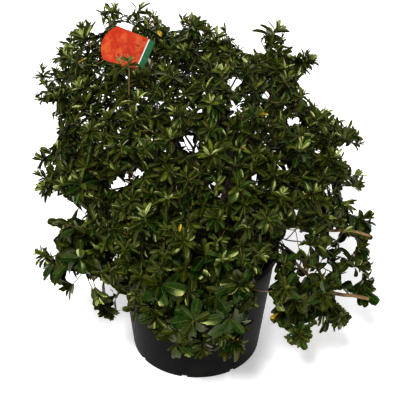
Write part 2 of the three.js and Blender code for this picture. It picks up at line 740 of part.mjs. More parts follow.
// One mass: its stem from the bough's tip, its core, and each sprig that has room. What still runs through wood
// is cut away round it.
function makeFoliage(bough, places, obstacles, grownWood, seed) {
  const { mass } = bough;
  const random = stream(seed);
  const clear = (point, margin) =>
    insideCell(point, mass, margin) &&
    clearOfPot(point, margin) &&
    obstacles.every((stretch) => clearance(point, stretch) > margin);
  const between = (from, to, margin) => {
    const shares = Array.from({ length: 12 }, (_, i) => (i + 1) / 12);
    return shares.every((share) => clear(from.clone().lerp(to, share), margin));
  };
  // A leaf has its corners in the mass's own space, and its blade is clear of wood and of other sprigs' leaves.
  const grown = [];
  const fits = (root, blade) =>
    blade.every((corner) => clear(corner, 0.6)) &&
    [0.3, 0.55, 0.8].every((share) => {
      const sample = root.clone().lerp(blade[3], share);
      return (
        obstacles.every((stretch) => clearance(sample, stretch) > LEAF.width * (0.62 - 0.5 * share)) &&
        grown.every((other) => other.from === root || clearance(sample, other) > SPRIG.apart)
      );
    });
  const nodes = growTwigs(bough, places);
  const parts = [];
  const kept = new Set([0, 1, 2]);
  const stemRadii = [BOUGH.tipRadius, SPRIG.twigRadius, SPRIG.twigRadius];
  parts.push(solidOf(taper([0, 1, 2].map((i) => nodes[i].at), stemRadii, 3)));
  parts.push(makeCore(mass, clear, random));
  nodes.forEach((node, i) => {
    if (!node.sprig) return;
    const middle = nodes[node.from];
    const foot = nodes[middle.from];
    if (!kept.has(middle.from)) return;
    if (!between(foot.at, middle.at, SPRIG.twigRadius + 0.4)) return;
    if (!between(middle.at, node.at, SPRIG.budRadius + 0.4)) return;
    kept.add(node.from).add(i);
    const axis = node.at.clone().sub(CROWN.heart).normalize();
    axis.add(node.at.clone().sub(middle.at).normalize()).add(new THREE.Vector3(0, 0, 0.35)).normalize();
    const sprig = makeSprig([foot.at, middle.at], node.at, axis, random, fits);
    parts.push(sprig.solid);
    grown.push(...sprig.leaves);
  });
  const crossed = (solid, other) => solid.intersect(other).volume() > 0;
  return grownWood.reduce(
    (solid, other) => (crossed(solid, other) ? solid.subtract(other) : solid),
    wasm.Manifold.union(parts),
  );
}

// ---- The whole plant --------------------------------------------------------------------------------------

const plant = new THREE.Group();
plant.add(piece("pot", makePot(), material(COLOURS.pot, 0.45)));
plant.add(piece("potting_mix", makeMix(), material(COLOURS.mix, 1)));
plant.add(piece("stem", makeStem(), material(COLOURS.stem, 0.9)));

const limbs = makeLimbs();
const boughs = makeBoughs(limbs);
limbs.forEach((limb, i) => {
  plant.add(piece(`limb_${i + 1}`, geometryOf(limb.solid), material(COLOURS.stem, 0.9)));
});
boughs.forEach((bough) => {
  plant.add(piece(`bough_${bough.mass.name}`, geometryOf(bough.solid), material(COLOURS.bough, 0.85)));
});

const label = makeLabel(boughs);
plant.add(piece("plant_label", label.geometry, material(COLOURS.label, 0.4)));

const wood = [...limbs, ...boughs];
const obstacles = [...wood.flatMap((part) => stretches(part.points, part.radii)), ...label.keepOut];
const places = sprigPlaces();
boughs.forEach((bough, i) => {
  const own = places.filter((place) => insideCell(place, bough.mass, SPRIG.budRadius + 1));
  const solid = makeFoliage(bough, own, obstacles, wood.map((part) => part.grown), 100 + i);
  const green = COLOURS.foliage[i % COLOURS.foliage.length];
  plant.add(piece(`foliage_${bough.mass.name}`, geometryOf(solid), material(green, 0.5)));
});

export default plant;
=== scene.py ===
import math

import bpy
import numpy as np
from mathutils import Matrix, Quaternion, Vector, noise


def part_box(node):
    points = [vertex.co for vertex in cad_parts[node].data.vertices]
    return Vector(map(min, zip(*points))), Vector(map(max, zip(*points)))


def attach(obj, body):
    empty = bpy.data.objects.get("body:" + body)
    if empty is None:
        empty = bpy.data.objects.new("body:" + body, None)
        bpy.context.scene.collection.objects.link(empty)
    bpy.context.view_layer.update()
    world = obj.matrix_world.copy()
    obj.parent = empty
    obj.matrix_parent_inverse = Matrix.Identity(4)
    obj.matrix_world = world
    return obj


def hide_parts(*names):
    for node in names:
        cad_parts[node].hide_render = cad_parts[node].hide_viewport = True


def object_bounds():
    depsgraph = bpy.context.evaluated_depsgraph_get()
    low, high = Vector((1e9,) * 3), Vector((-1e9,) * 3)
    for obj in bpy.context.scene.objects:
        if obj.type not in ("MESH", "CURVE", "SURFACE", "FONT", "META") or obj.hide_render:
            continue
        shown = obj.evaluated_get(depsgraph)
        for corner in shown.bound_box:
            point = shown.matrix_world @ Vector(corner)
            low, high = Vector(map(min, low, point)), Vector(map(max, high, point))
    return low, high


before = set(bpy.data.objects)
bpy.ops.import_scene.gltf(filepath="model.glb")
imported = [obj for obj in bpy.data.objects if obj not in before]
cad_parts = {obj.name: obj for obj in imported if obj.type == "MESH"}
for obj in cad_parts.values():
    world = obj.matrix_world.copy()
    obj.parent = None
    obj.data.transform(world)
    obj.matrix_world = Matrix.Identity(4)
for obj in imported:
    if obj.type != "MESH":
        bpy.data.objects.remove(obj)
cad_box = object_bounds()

# ---- Pot -------------------------------------------------------------------------------------------------
# A 15 litre nursery pot, blow-moulded from matt black polypropylene. Its wall opens out to a rolled rim, and
# slots at the foot of the wall let water out. It stands on its flat underside.

POT_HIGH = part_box("pot")[1]
POT_HEIGHT, RIM_RADIUS = POT_HIGH.z, POT_HIGH.x
RIM_HEIGHT = 0.020
SHOULDER_RADIUS = 0.156  # of the wall, just under the rim
BASE_RADIUS = 0.129
WALL = 0.0026
FLOOR = 0.003
POT_SIDES = 144
DRAINS = 8
DRAIN_WIDTH, DRAIN_HEIGHT, DRAIN_REACH, DRAIN_AZIMUTH = 0.012, 0.008, 0.016, -145
DRAIN_PAST = 0.02  # how far the cut runs on outside the wall


def around(azimuth, radius, height):
    """A point at an azimuth in degrees, anticlockwise from +X seen from above."""
    turn = math.radians(azimuth)
    return Vector((radius * math.cos(turn), radius * math.sin(turn), height))


def arc(a, b, c, t):
    """A point of the curve that leaves a towards b and comes to c from it."""
    return a * (1 - t) ** 2 + b * 2 * t * (1 - t) + c * t * t


def rounded(corners, steps=5):
    """A profile of (radius, height) with its corners rounded off. Each corner is (r, z, rounding)."""
    line = []
    for i, (r, z, rounding) in enumerate(corners):
        here = Vector((r, z))
        if rounding == 0:
            line.append(here)
            continue
        before = Vector(corners[i - 1][:2])
        after = Vector(corners[(i + 1) % len(corners)][:2])
        start = here + (before - here).normalized() * rounding
        end = here + (after - here).normalized() * rounding
        line += [arc(start, here, end, step / steps) for step in range(steps + 1)]
    return line


def lathe(profile, sides):
    """Vertices and faces of a profile turned round Z. A point on the axis becomes one vertex."""
    vertices, rings, faces = [], [], []
    for r, z in profile:
        if r < 1e-6:
            rings.append([len(vertices)] * sides)
            vertices.append((0, 0, z))
            continue
        rings.append(list(range(len(vertices), len(vertices) + sides)))
        for side in range(sides):
            turn = 2 * math.pi * side / sides
            vertices.append((r * math.cos(turn), r * math.sin(turn), z))
    for low, high in zip(rings, rings[1:]):
        for side in range(sides):
            after = (side + 1) % sides
            corners = [low[side], low[after], high[after], high[side]]
            faces.append(list(dict.fromkeys(corners)))
    return vertices, faces


def join(vertices, faces, more, sides):
    """Adds the vertices and faces of one mesh to those of another."""
    faces += [[len(vertices) + corner for corner in side] for side in sides]
    vertices += more


def put(name, data):
    """An object of a mesh, lamp or camera, put into the scene."""
    made = bpy.data.objects.new(name, data)
    bpy.context.collection.objects.link(made)
    return made


def add_piece(name, vertices, faces, materials, slot, crease=None, finishes=None):
    """A smooth-shaded piece of the part, riding on its one body. Edges sharper than crease stay sharp, and
    finishes says which of the materials each face has."""
    mesh = bpy.data.meshes.new(name)
    mesh.from_pydata(vertices, [], faces)
    for material in materials:
        mesh.materials.append(material)
    mesh.shade_smooth()
    if crease:
        mesh.set_sharp_from_angle(angle=math.radians(crease))
    if finishes is not None:
        mesh.polygons.foreach_set("material_index", finishes)
    made = put(name, mesh)
    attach(made, "root")
    return made


class Shade:
    """An output socket in a material's node tree. Arithmetic on it adds Math nodes."""

    def __init__(self, tree, socket=None):
        self.tree, self.socket = tree, socket

    def node(self, kind, settings, inputs, output=0):
        """Adds any node: its type, its settings, and the values or links of its sockets."""
        made = self.tree.nodes.new(kind)
        for name, value in settings.items():
            setattr(made, name, value)
        for name, value in inputs.items():
            if isinstance(value, Shade):
                self.tree.links.new(value.socket, made.inputs[name])
            else:
                made.inputs[name].default_value = value
        return Shade(self.tree, made.outputs[output])

    def maths(self, operation, *values):
        return self.node("ShaderNodeMath", {"operation": operation}, dict(enumerate(values)))

    def __add__(self, other):
        return self.maths("ADD", self, other)

    def __mul__(self, other):
        return self.maths("MULTIPLY", self, other)

    def __sub__(self, other):
        return self.maths("SUBTRACT", self, other)

    def __rsub__(self, other):
        return self.maths("SUBTRACT", other, self)

    __radd__, __rmul__ = __add__, __mul__

    def between(self, low, high):
        """0 below low, 1 above high, and smooth in between."""
        settings = {"interpolation_type": "SMOOTHSTEP"}
        return self.node("ShaderNodeMapRange", settings, {0: self, 1: low, 2: high, 3: 0.0, 4: 1.0})

    def mix(self, plain, other):
        """The colour plain where this is 0 and other where it is 1."""
        ends = [value if isinstance(value, Shade) else (*value, 1) for value in (plain, other)]
        settings = {"data_type": "RGBA", "clamp_factor": True}
        return self.node("ShaderNodeMix", settings, {0: self, 6: ends[0], 7: ends[1]}, 2)

    def place(self, stretch=(1, 1, 1)):
        """The point on the object, stretched along its axes."""
        at = self.node("ShaderNodeTexCoord", {}, {}, 3)
        return self.node("ShaderNodeVectorMath", {"operation": "MULTIPLY"}, {0: at, 1: stretch})

    def height(self):
        return self.node("ShaderNodeSeparateXYZ", {}, {0: self.place()}, 2)

    def grain(self, scale, detail=3, roughness=0.5, stretch=(1, 1, 1)):
        """Noise with features 1 / scale metres across."""
        inputs = {"Vector": self.place(stretch), "Scale": scale, "Detail": detail, "Roughness": roughness}
        return self.node("ShaderNodeTexNoise", {}, inputs)


def add_material(name, build, **constants):
    """A Principled material. Build returns the links of what varies, and constants go on the sockets."""
    made = bpy.data.materials.new(name)
    made.use_nodes = True
    tree = made.node_tree
    shader = tree.nodes["Principled BSDF"]
    for socket, value in constants.items():
        shader.inputs[socket.replace("_", " ")].default_value = value
    links = build(Shade(tree))
    bump = links.pop("bump", None)
    if bump:
        depth, surface = bump
        links["Normal"] = surface.node("ShaderNodeBump", {}, {"Height": surface, "Distance": depth})
    for socket, value in links.items():
        tree.links.new(value.socket, shader.inputs[socket])
    return made


def pot_plastic(shade):
    """Matt black, with dust low down, faint runs down the wall and the fine skin of the mould."""
    runs = shade.grain(60, 4, 0.6, (1, 1, 0.12))
    dust = (1 - shade.height().between(0.0, 0.09)) * shade.grain(24, 5, 0.65).between(0.42, 0.72)
    film = dust * 0.55 + runs.between(0.52, 0.8) * 0.22
    skin = shade.grain(1500, 2) * 0.5 + shade.grain(90, 3) * 0.5
    return {
        "Base Color": film.mix((0.0050, 0.0052, 0.0054), (0.032, 0.030, 0.027)),
        "Roughness": 0.40 + shade.grain(45, 4) * 0.16 + film * 0.3,
        "bump": (0.00022, skin),
    }


pot_profile = rounded([
    (0, 0, 0),
    (BASE_RADIUS, 0, 0.006),
    (SHOULDER_RADIUS - 0.0006, POT_HEIGHT - RIM_HEIGHT - 0.001, 0.0015),
    (RIM_RADIUS - 0.001, POT_HEIGHT - RIM_HEIGHT + 0.0005, 0.0012),
    (RIM_RADIUS, POT_HEIGHT, 0.0022),
    (SHOULDER_RADIUS - WALL + 0.001, POT_HEIGHT, 0.0022),
    (SHOULDER_RADIUS - WALL, POT_HEIGHT - 0.004, 0.001),
    (BASE_RADIUS - WALL, FLOOR, 0.0015),
    (0, FLOOR, 0),
])
drain_boxes = bpy.data.meshes.new("drain_boxes")
box_sides = ((0, 1, 3, 2), (4, 6, 7, 5), (0, 4, 5, 1), (2, 3, 7, 6), (0, 2, 6, 4), (1, 5, 7, 3))
vertices, faces = [], []
for drain in range(DRAINS):
    spin = Matrix.Rotation(math.radians(DRAIN_AZIMUTH + 360 * drain / DRAINS), 3, "Z")
    corners = [
        spin @ Vector((x, y, z))
        for x in (BASE_RADIUS - DRAIN_REACH, BASE_RADIUS + DRAIN_PAST)
        for y in (-DRAIN_WIDTH / 2, DRAIN_WIDTH / 2)
        for z in (-DRAIN_HEIGHT, DRAIN_HEIGHT)
    ]
    join(vertices, faces, corners, box_sides)
drain_boxes.from_pydata(vertices, [], faces)
cutter = put("drain_boxes", drain_boxes)
black_plastic = add_material("pot_plastic", pot_plastic, Specular_IOR_Level=0.08)
pot = add_piece("nursery_pot", *lathe(pot_profile, POT_SIDES), [black_plastic], "pot")
cut = pot.modifiers.new("drains", "BOOLEAN")
cut.operation, cut.solver, cut.object = "DIFFERENCE", "EXACT", cutter
drained = bpy.data.meshes.new_from_object(pot.evaluated_get(bpy.context.evaluated_depsgraph_get()))
pot.modifiers.clear()
pot.data = drained
pot.data.set_sharp_from_angle(angle=math.radians(34))
bpy.data.objects.remove(cutter)
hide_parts("pot")

# ---- Potting mix -----------------------------------------------------------------------------------------
# Dark peat with composted bark, filled to just under the rim and a little higher round the stem. Chips of
# bark and a few white grains of perlite lie loose on it.

MIX_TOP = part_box("potting_mix")[1].z
MOUND = 0.005  # how much higher the mix lies round the stem
MIX_LEVEL = MIX_TOP - MOUND
MIX_RINGS, MIX_SIDES = 44, 120
CHIPS, PERLITE = 420, 46
random = np.random.default_rng(5)


def mix_radius(height):
    slope = (SHOULDER_RADIUS - BASE_RADIUS) / (POT_HEIGHT - FLOOR)
    return BASE_RADIUS - WALL + slope * (height - FLOOR) - 0.0008


def mix_height(radius, point):
    """The crumbly top, which settles a little at the wall."""
    mound = MOUND * (1 - min(1, max(0, (radius - 0.06) / 0.09)))
    crumbs = 0.0016 * noise.noise(point * 110) + 0.0011 * noise.noise(point * 320)
    return MIX_LEVEL - 0.0012 + mound + crumbs


vertices, faces = lathe([(0, FLOOR + 0.0004), (mix_radius(FLOOR), FLOOR + 0.0004)], MIX_SIDES)
below = len(vertices) - MIX_SIDES
for ring in range(MIX_RINGS):
    radius = mix_radius(MIX_LEVEL) * (1 - ring / MIX_RINGS)
    first = len(vertices)
    for side in range(MIX_SIDES):
        point = around(360 * side / MIX_SIDES, radius, 0)
        point.z = mix_height(radius, point)
        vertices.append(point)
        after = (side + 1) % MIX_SIDES
        faces.append((below + side, below + after, first + after, first + side))
    below = first
vertices.append((0, 0, mix_height(0, Vector())))
faces += [(below + side, below + (side + 1) % MIX_SIDES, len(vertices) - 1) for side in range(MIX_SIDES)]


def peat(shade):
    """Nearly black crumbs with brown fibres."""
    fibre = shade.grain(420, 4, 0.7).between(0.45, 0.68)
    damp = shade.grain(28, 3)
    return {
        "Base Color": (fibre * damp).mix((0.012, 0.008, 0.005), (0.085, 0.05, 0.028)),
        "Roughness": 0.95 - damp * 0.2,
        "bump": (0.0012, shade.grain(700, 3)),
    }


mix = add_piece("potting_mix_fill", vertices, faces, [add_material("peat", peat)], "potting_mix")
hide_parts("potting_mix")


def grains(count, low, high, flat, colour, name, roughness):
    """Loose grains on the mix: rough lumps, each squashed and turned its own way."""
    lump = ((1, 0, 0.2), (0.2, 1, 0), (-1, 0.1, 0), (0, -1, 0.1), (0.1, 0, 1), (0, 0.1, -1))
    sides = ((0, 1, 4), (1, 2, 4), (2, 3, 4), (3, 0, 4), (1, 0, 5), (2, 1, 5), (3, 2, 5), (0, 3, 5))
    vertices, faces = [], []
    for _ in range(count):
        size = random.uniform(low, high)
        radius = (mix_radius(MIX_LEVEL) - 0.008) * math.sqrt(random.uniform(0.02, 1))
        at = around(random.uniform(0, 360), radius, 0)
        at.z = mix_height(radius, at) + size * flat * 0.25
        shape = Vector((size, size * random.uniform(0.45, 0.9), size * flat * random.uniform(0.7, 1)))
        spin = Quaternion(random.normal(size=3), random.normal(0, 0.22)).to_matrix()
        spin = spin @ Matrix.Rotation(random.uniform(0, 2 * math.pi), 3, "Z")
        corners = [
            at + spin @ Vector(a * b * random.uniform(0.8, 1.1) for a, b in zip(Vector(corner), shape))
            for corner in lump
        ]
        join(vertices, faces, corners, sides)

    def crumb(shade):
        tone = shade.grain(260, 4, 0.6)
        pale = tuple(min(1, part * 1.9) for part in colour)
        return {
            "Base Color": tone.between(0.35, 0.7).mix(colour, pale),
            "Roughness": roughness - tone * 0.15,
            "bump": (0.0006, tone),
        }

    return add_piece(name, vertices, faces, [add_material(name, crumb)], "potting_mix", 50)


grains(CHIPS, 0.002, 0.0062, 0.4, (0.075, 0.04, 0.02), "bark_chips", 0.95)
grains(PERLITE, 0.001, 0.0022, 0.9, (0.5, 0.48, 0.44), "perlite", 0.9)

# ---- Stem ------------------------------------------------------------------------------------------------
# A short woody stem with a flare at the ground. It leans a little and swells at its top, where the limbs
# leave it. Its bark is thin, grey-brown and shallowly fissured.

STEM_LOW, STEM_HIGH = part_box("stem")
GROUND = STEM_LOW.z
STEM_LENGTH = STEM_HIGH.z - GROUND
STEM_LEAN = 0.004
FLARE, WAIST, HEAD = 0.024, 0.013, 0.018
STEM_FIT = 0.97  # the share of the radius that leaves room for the ridges of the bark
FORK = Vector((STEM_LEAN, 0, GROUND + STEM_LENGTH - HEAD))


def through(line, count):
    """Points spaced evenly along a line of points."""
    line = np.array([tuple(point) for point in line])
    way = np.concatenate([[0], np.cumsum(np.linalg.norm(np.diff(line, axis=0), axis=1))])
    wanted = np.linspace(0, way[-1], count)
    return [Vector(np.interp(at, way, line[:, axis]) for axis in range(3)) for at in wanted]


def limb_mesh(line, radii, sides, relief):
    """A round limb along a line of points. Relief is the depth of its bark at a point of the surface."""
    vertices, faces = [], []
    across = Vector((0.31, 0.17, 1)).cross(line[1] - line[0]).normalized()
    for i, (centre, radius) in enumerate(zip(line, radii)):
        along = (line[min(i + 1, len(line) - 1)] - line[max(i - 1, 0)]).normalized()
        across = (across - along * across.dot(along)).normalized()
        other = along.cross(across)
        for side in range(sides):
            turn = 2 * math.pi * side / sides
            out = across * math.cos(turn) + other * math.sin(turn)
            vertices.append(centre + out * (radius + relief(centre + out * radius, radius)))
            if i:
                a, b = (i - 1) * sides + side, (i - 1) * sides + (side + 1) % sides
                faces.append((a, b, b + sides, a + sides))
    faces.append(tuple(reversed(range(sides))))
    faces.append(tuple(range(len(vertices) - sides, len(vertices))))
    return vertices, faces


def tapered(foot, tip, steps, swell, fade, fit):
    """The radii of a limb from its foot to its tip, with a swollen collar at the foot."""
    return [
        (foot + (tip - foot) * i / (steps - 1)) * (1 + swell * math.exp(-i / fade)) * fit
        for i in range(steps)
    ]


def bark_relief(point, radius):
    """Shallow fissures that run up the wood, with broad lumps under them."""
    fissures = 1 - abs(noise.noise(Vector((point.x * 320, point.y * 320, point.z * 70)))) * 2
    return radius * (0.07 * noise.noise(point * 90) - 0.10 * max(0, fissures - 0.45))


def bark(shade):
    """Grey-brown ridges over darker, redder fissures, with a few pale lichen spots."""
    ridges = shade.grain(420, 5, 0.65, (1, 1, 0.22))
    lichen = shade.grain(70, 4).between(0.62, 0.72)
    wood = ridges.between(0.35, 0.65).mix((0.045, 0.026, 0.016), (0.19, 0.135, 0.095))
    return {
        "Base Color": (lichen * 0.5).mix(wood, (0.26, 0.26, 0.21)),
        "Roughness": 0.9 - ridges * 0.15,
        "bump": (0.0006, ridges),
    }


bark_material = add_material("bark", bark)
stations = [
    (0, FLARE), (0.003, FLARE * 0.88), (0.0064, FLARE * 0.725), (0.011, WAIST * 1.22), (0.016, WAIST * 1.08),
    (0.0297, WAIST), (STEM_LENGTH - HEAD * 1.2, HEAD), (STEM_LENGTH - HEAD * 0.4, HEAD * 0.96),
    (STEM_LENGTH, HEAD * 0.55),
]
heights, widths = zip(*stations)
line = [Vector((STEM_LEAN * up / STEM_LENGTH, 0, GROUND + up)) for up in np.linspace(0, STEM_LENGTH, 46)]
radii = [float(np.interp(point.z - GROUND, heights, widths)) * STEM_FIT for point in line]
vertices, faces = limb_mesh(line, radii, 40, bark_relief)
stem = add_piece("stem_bark", vertices, faces, [bark_material], "bark")
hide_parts("stem")

# ---- Limbs -----------------------------------------------------------------------------------------------
# Six limbs leave the head of the stem. Each climbs outwards and then turns up towards the foliage at the
# top of the crown, and tapers all the way.

LIMBS = 6
FIRST_LIMB = -105
LIMB_FOOT, LIMB_TIP, LIMB_FIT = 0.007, 0.0042, 0.96
LIMB_STEPS, LIMB_SIDES = 80, 14
# The radius and height of a limb's bends, and of the place its tip leans to.
LOW_BEND, HIGH_BEND, AIM = (0.030, FORK.z + 0.024), (0.062, 0.368), (0.074, 0.430)
# The tiers of foliage: where their masses are, and the share of a limb's length at which its bough leaves it.
TIERS = {
    "skirt": ((-90, -30, 30, 90, 150, 210), 0.226, 0.286, 0.38),
    "shoulder": ((-120, -60, 0, 60, 120, 180), 0.206, 0.436, 0.68),
    "top": ((-90, -18, 15, 54, 126, 198), 0.130, 0.572, 1.0),
}
MIDDLE_TOP = ("top", 2, 0.008, 0.600)  # the mass at the very top: tier, limb, reach and height
masses = []
for tier, (azimuths, out, up, leaves_at) in TIERS.items():
    for limb, azimuth in enumerate(azimuths):
        middle = (tier, limb) == MIDDLE_TOP[:2]
        centre = around(azimuth, *MIDDLE_TOP[2:]) if middle else around(azimuth, out, up)
        masses.append({"tier": tier, "limb": limb, "leaves_at": leaves_at, "centre": centre})
tops = masses[-LIMBS:]


def curve(start, end, pull_out, pull_in, t):
    """A point of the smooth curve between two ends, each with its pull."""
    return (
        start * (2 * t**3 - 3 * t**2 + 1) + end * (3 * t**2 - 2 * t**3)
        + pull_out * (t**3 - 2 * t**2 + t) + pull_in * (t**3 - t**2)
    )


def bowed(points, steps=60):
    """A smooth line through a few points, as many close ones. The pull at each comes from its neighbours."""
    ends = [points[0] * 2 - points[1], *points, points[-1] * 2 - points[-2]]
    line = []
    for before, start, end, after in zip(ends, ends[1:], ends[2:], ends[3:]):
        a, b, c = (math.sqrt(way.length) for way in (start - before, end - start, after - end))
        pull_out = ((start - before) / a - (end - before) / (a + b)) * b + (end - start)
        pull_in = ((after - end) / c - (after - start) / (b + c)) * b + (end - start)
        line += [curve(start, end, pull_out, pull_in, t) for t in np.linspace(0, 1, steps)]
    return line


limb_lines = []
vertices, faces = [], []
for limb in range(LIMBS):
    azimuth = FIRST_LIMB + 360 * limb / LIMBS
    tip = tops[limb]["centre"].lerp(around(azimuth, *AIM), 0.8)
    lean = Vector((STEM_LEAN, 0, 0))
    bends = [FORK.copy(), around(azimuth, *LOW_BEND) + lean, around(azimuth, *HIGH_BEND), tip]
    line = through(bowed(bends), LIMB_STEPS)
    limb_lines.append(line)
    radii = tapered(LIMB_FOOT, LIMB_TIP, LIMB_STEPS, 0.35, 5, LIMB_FIT)
    join(vertices, faces, *limb_mesh(line, radii, LIMB_SIDES, bark_relief))
limbs = add_piece("limbs_bark", vertices, faces, [bark_material], "bark")
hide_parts(*[f"limb_{limb + 1}" for limb in range(LIMBS)])

# ---- Boughs ----------------------------------------------------------------------------------------------
# Each limb carries three boughs, one to each tier of foliage. A bough leaves its limb at a swollen collar,
# bows towards the middle of its mass and ends where it enters it.

BOUGH_FOOT, BOUGH_TIP, BOUGH_FIT = 0.0042, 0.0026, 0.95
BOUGH_STEPS, BOUGH_SIDES = 30, 11
BOUGH_LIFT = Vector((0, 0, 0.026))
BOUGH_ENTRY = 0.034
HEART = Vector((0, 0, 0.330))


def inside_space(point, mass, margin):
    """True nearer to a mass's middle than to any other's or to the heart of the crown."""
    own = (point - mass["centre"]).length_squared
    others = [other["centre"] for other in masses if other is not mass] + [HEART]
    return all(
        ((point - centre).length_squared - own) / (2 * (centre - mass["centre"]).length) > margin
        for centre in others
    )


vertices, faces = [], []
for mass in masses:
    line = limb_lines[mass["limb"]]
    share = mass["leaves_at"] * (len(line) - 1)
    at = min(int(round(share)), len(line) - 1)
    foot = line[at]
    if mass["leaves_at"] == 1:
        heading = (line[at] - line[at - 1]).normalized()
        lift = heading * (mass["centre"] - foot).length * 0.3
    else:
        lift = BOUGH_LIFT
    bend = foot.lerp(mass["centre"], 0.4) + lift
    full = [arc(foot, bend, mass["centre"], t) for t in np.linspace(0, 1, 101)]
    end = next((i for i in range(10, 101, 2) if inside_space(full[i], mass, BOUGH_ENTRY)), 100)
    mass["line"] = through(full[: end + 1], BOUGH_STEPS)
    radii = tapered(BOUGH_FOOT, BOUGH_TIP, BOUGH_STEPS, 0.4, 2.5, BOUGH_FIT)
    join(vertices, faces, *limb_mesh(mass["line"], radii, BOUGH_SIDES, bark_relief))
boughs = add_piece("boughs_bark", vertices, faces, [bark_material], "bark")
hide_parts(*[f"bough_{mass['tier']}_{mass['limb'] + 1}" for mass in masses])

# ---- Plant label -----------------------------------------------------------------------------------------
# A card of thin printed plastic, rounded at its free end and bowed a little. It is held by a strap and a loop
# round a bough at the top left of the crown. The print is a plain orange mottle with a green band.

CARD_CENTRE = Vector((-0.134, -0.040, 0.681))
CARD_LENGTH, CARD_WIDTH, CARD_THICKNESS = 0.088, 0.064, 0.001
CARD_BOW, CARD_SAG = 0.015, 0.007
CARD_TURN = (
    Matrix.Rotation(math.radians(-6), 3, "Z")
    @ Matrix.Rotation(math.radians(90 - 36), 3, "X")
    @ Matrix.Rotation(math.radians(-19), 3, "Z")
)
BAND, LINE = 0.010, 0.0022  # the green band at the square end and the white line beside it
STRAP_STEPS, STRAP_HALF, STRAP_TAPER, STRAP_THIN = 16, 0.0035, 0.0012, 0.0004
STRAP_LAP, STRAP_OUT = 0.006, 0.026  # how far it lies on the card, and runs straight out past its end
RING_INNER, RING_OUTER, RING_HALF, RING_SIDES = 0.0048, 0.0058, 0.0045, 28


def on_card(along, across, lift=0.0):
    """A point of the card, from its own length and width."""
    sag = CARD_SAG * (2 * along / CARD_LENGTH) ** 2
    return CARD_TURN @ Vector((along, across, lift - sag)) + CARD_CENTRE


def card_end(across):
    """Where the rounded end of the card is at a distance from its middle line."""
    t = 0.5 + across / CARD_WIDTH
    edge, bulge = -CARD_LENGTH / 2 + CARD_BOW, -CARD_LENGTH / 2 - CARD_BOW
    return arc(edge, bulge, edge, t)


def orange_print(shade):
    """Coral red that clouds into orange, with small dark flecks."""
    clouds = shade.grain(75, 4, 0.6)
    flecks = shade.grain(170, 2).between(0.60, 0.67) * shade.grain(45, 2).between(0.42, 0.56)
    base = clouds.between(0.40, 0.66).mix((0.50, 0.040, 0.012), (0.60, 0.125, 0.036))
    return {
        "Base Color": (flecks * 0.8).mix(base, (0.10, 0.012, 0.008)),
        "Roughness": 0.5 + shade.grain(300, 2) * 0.12,
        "bump": (0.0001, shade.grain(900, 2)),
    }


def plain_print(colour):
    def build(shade):
        tone = shade.grain(160, 3)
        dull = tuple(part * 0.78 for part in colour)
        return {"Base Color": tone.mix(dull, colour), "Roughness": 0.32 + tone * 0.1}

    return build


prints = [
    add_material("orange_print", orange_print, Specular_IOR_Level=0.12),
    add_material("white_line", plain_print((0.82, 0.84, 0.82))),
    add_material("green_band", plain_print((0.012, 0.16, 0.055))),
    add_material("label_back", plain_print((0.62, 0.6, 0.56))),
]
half = CARD_LENGTH / 2
columns = [*np.linspace(0, 1, 18)]
marks = [half - BAND - LINE, half - BAND, half]
rows = 17
vertices, faces, finishes = [], [], []
for lift in (CARD_THICKNESS, 0.0):
    for row in range(rows):
        across = CARD_WIDTH * (row / (rows - 1) - 0.5)
        end = card_end(across)
        places = [end + (marks[0] - end) * column for column in columns] + marks[1:]
        vertices += [on_card(along, across, lift) for along in places]
wide = len(columns) + 2
sheet = wide * rows
for row in range(rows - 1):
    for column in range(wide - 1):
        a = row * wide + column
        faces.append((a, a + 1, a + 1 + wide, a + wide))
        finishes.append(max(0, column - len(columns) + 2))
        faces.append((a + sheet + wide, a + 1 + wide + sheet, a + 1 + sheet, a + sheet))
        finishes.append(3)
rim = (
    list(range(wide)) + [row * wide + wide - 1 for row in range(1, rows)]
    + [(rows - 1) * wide + column for column in range(wide - 2, -1, -1)]
    + [row * wide for row in range(rows - 2, 0, -1)]
)
for a, b in zip(rim, rim[1:] + rim[:1]):
    faces.append((b, a, a + sheet, b + sheet))
    finishes.append(3)
card = add_piece("label_card", vertices, faces, prints, "label", 40, finishes)
holder = tops[5]["line"]
middle = len(holder) * 3 // 8
ring_centre, heading = holder[middle], (holder[middle + 1] - holder[middle - 1]).normalized()
start, leaving = (on_card(along, 0, CARD_THICKNESS / 2) for along in (half - STRAP_LAP, half + STRAP_OUT))
side = leaving - ring_centre
side = (side - heading * side.dot(heading)).normalized()
stop = ring_centre + side * RING_OUTER
route = [arc(start, leaving, stop, t) for t in np.linspace(0, 1, STRAP_STEPS)]
vertices, faces = [], []
for i, point in enumerate(route):
    along = (route[min(i + 1, STRAP_STEPS - 1)] - route[max(i - 1, 0)]).normalized()
    flat = CARD_TURN @ Vector((0, 1, 0))
    flat = (flat - along * flat.dot(along)).normalized()
    up = along.cross(flat)
    half_width = STRAP_HALF - STRAP_TAPER * i / (STRAP_STEPS - 1)
    for a, b in ((-1, -1), (1, -1), (1, 1), (-1, 1)):
        vertices.append(point + flat * half_width * a + up * STRAP_THIN * b)
    if i:
        low = 4 * (i - 1)
        faces += [(low + k, low + (k + 1) % 4, low + 4 + (k + 1) % 4, low + 4 + k) for k in range(4)]
faces += [(3, 2, 1, 0), tuple(range(len(vertices) - 4, len(vertices)))]
spin = Vector((0, 0, 1)).rotation_difference(heading).to_matrix()
profile = [(RING_INNER, -1), (RING_OUTER, -1), (RING_OUTER, 1), (RING_INNER, 1)]
ring, wraps = lathe([(radius, end * RING_HALF) for radius, end in profile], RING_SIDES)
last = 3 * RING_SIDES  # where the last of the four rings of vertices starts
wraps += [(k, last + k, last + (k + 1) % RING_SIDES, (k + 1) % RING_SIDES) for k in range(RING_SIDES)]
join(vertices, faces, [ring_centre + spin @ Vector(point) for point in ring], wraps)
add_piece("label_strap", vertices, faces, [prints[3]], "label", 40)
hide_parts("plant_label")

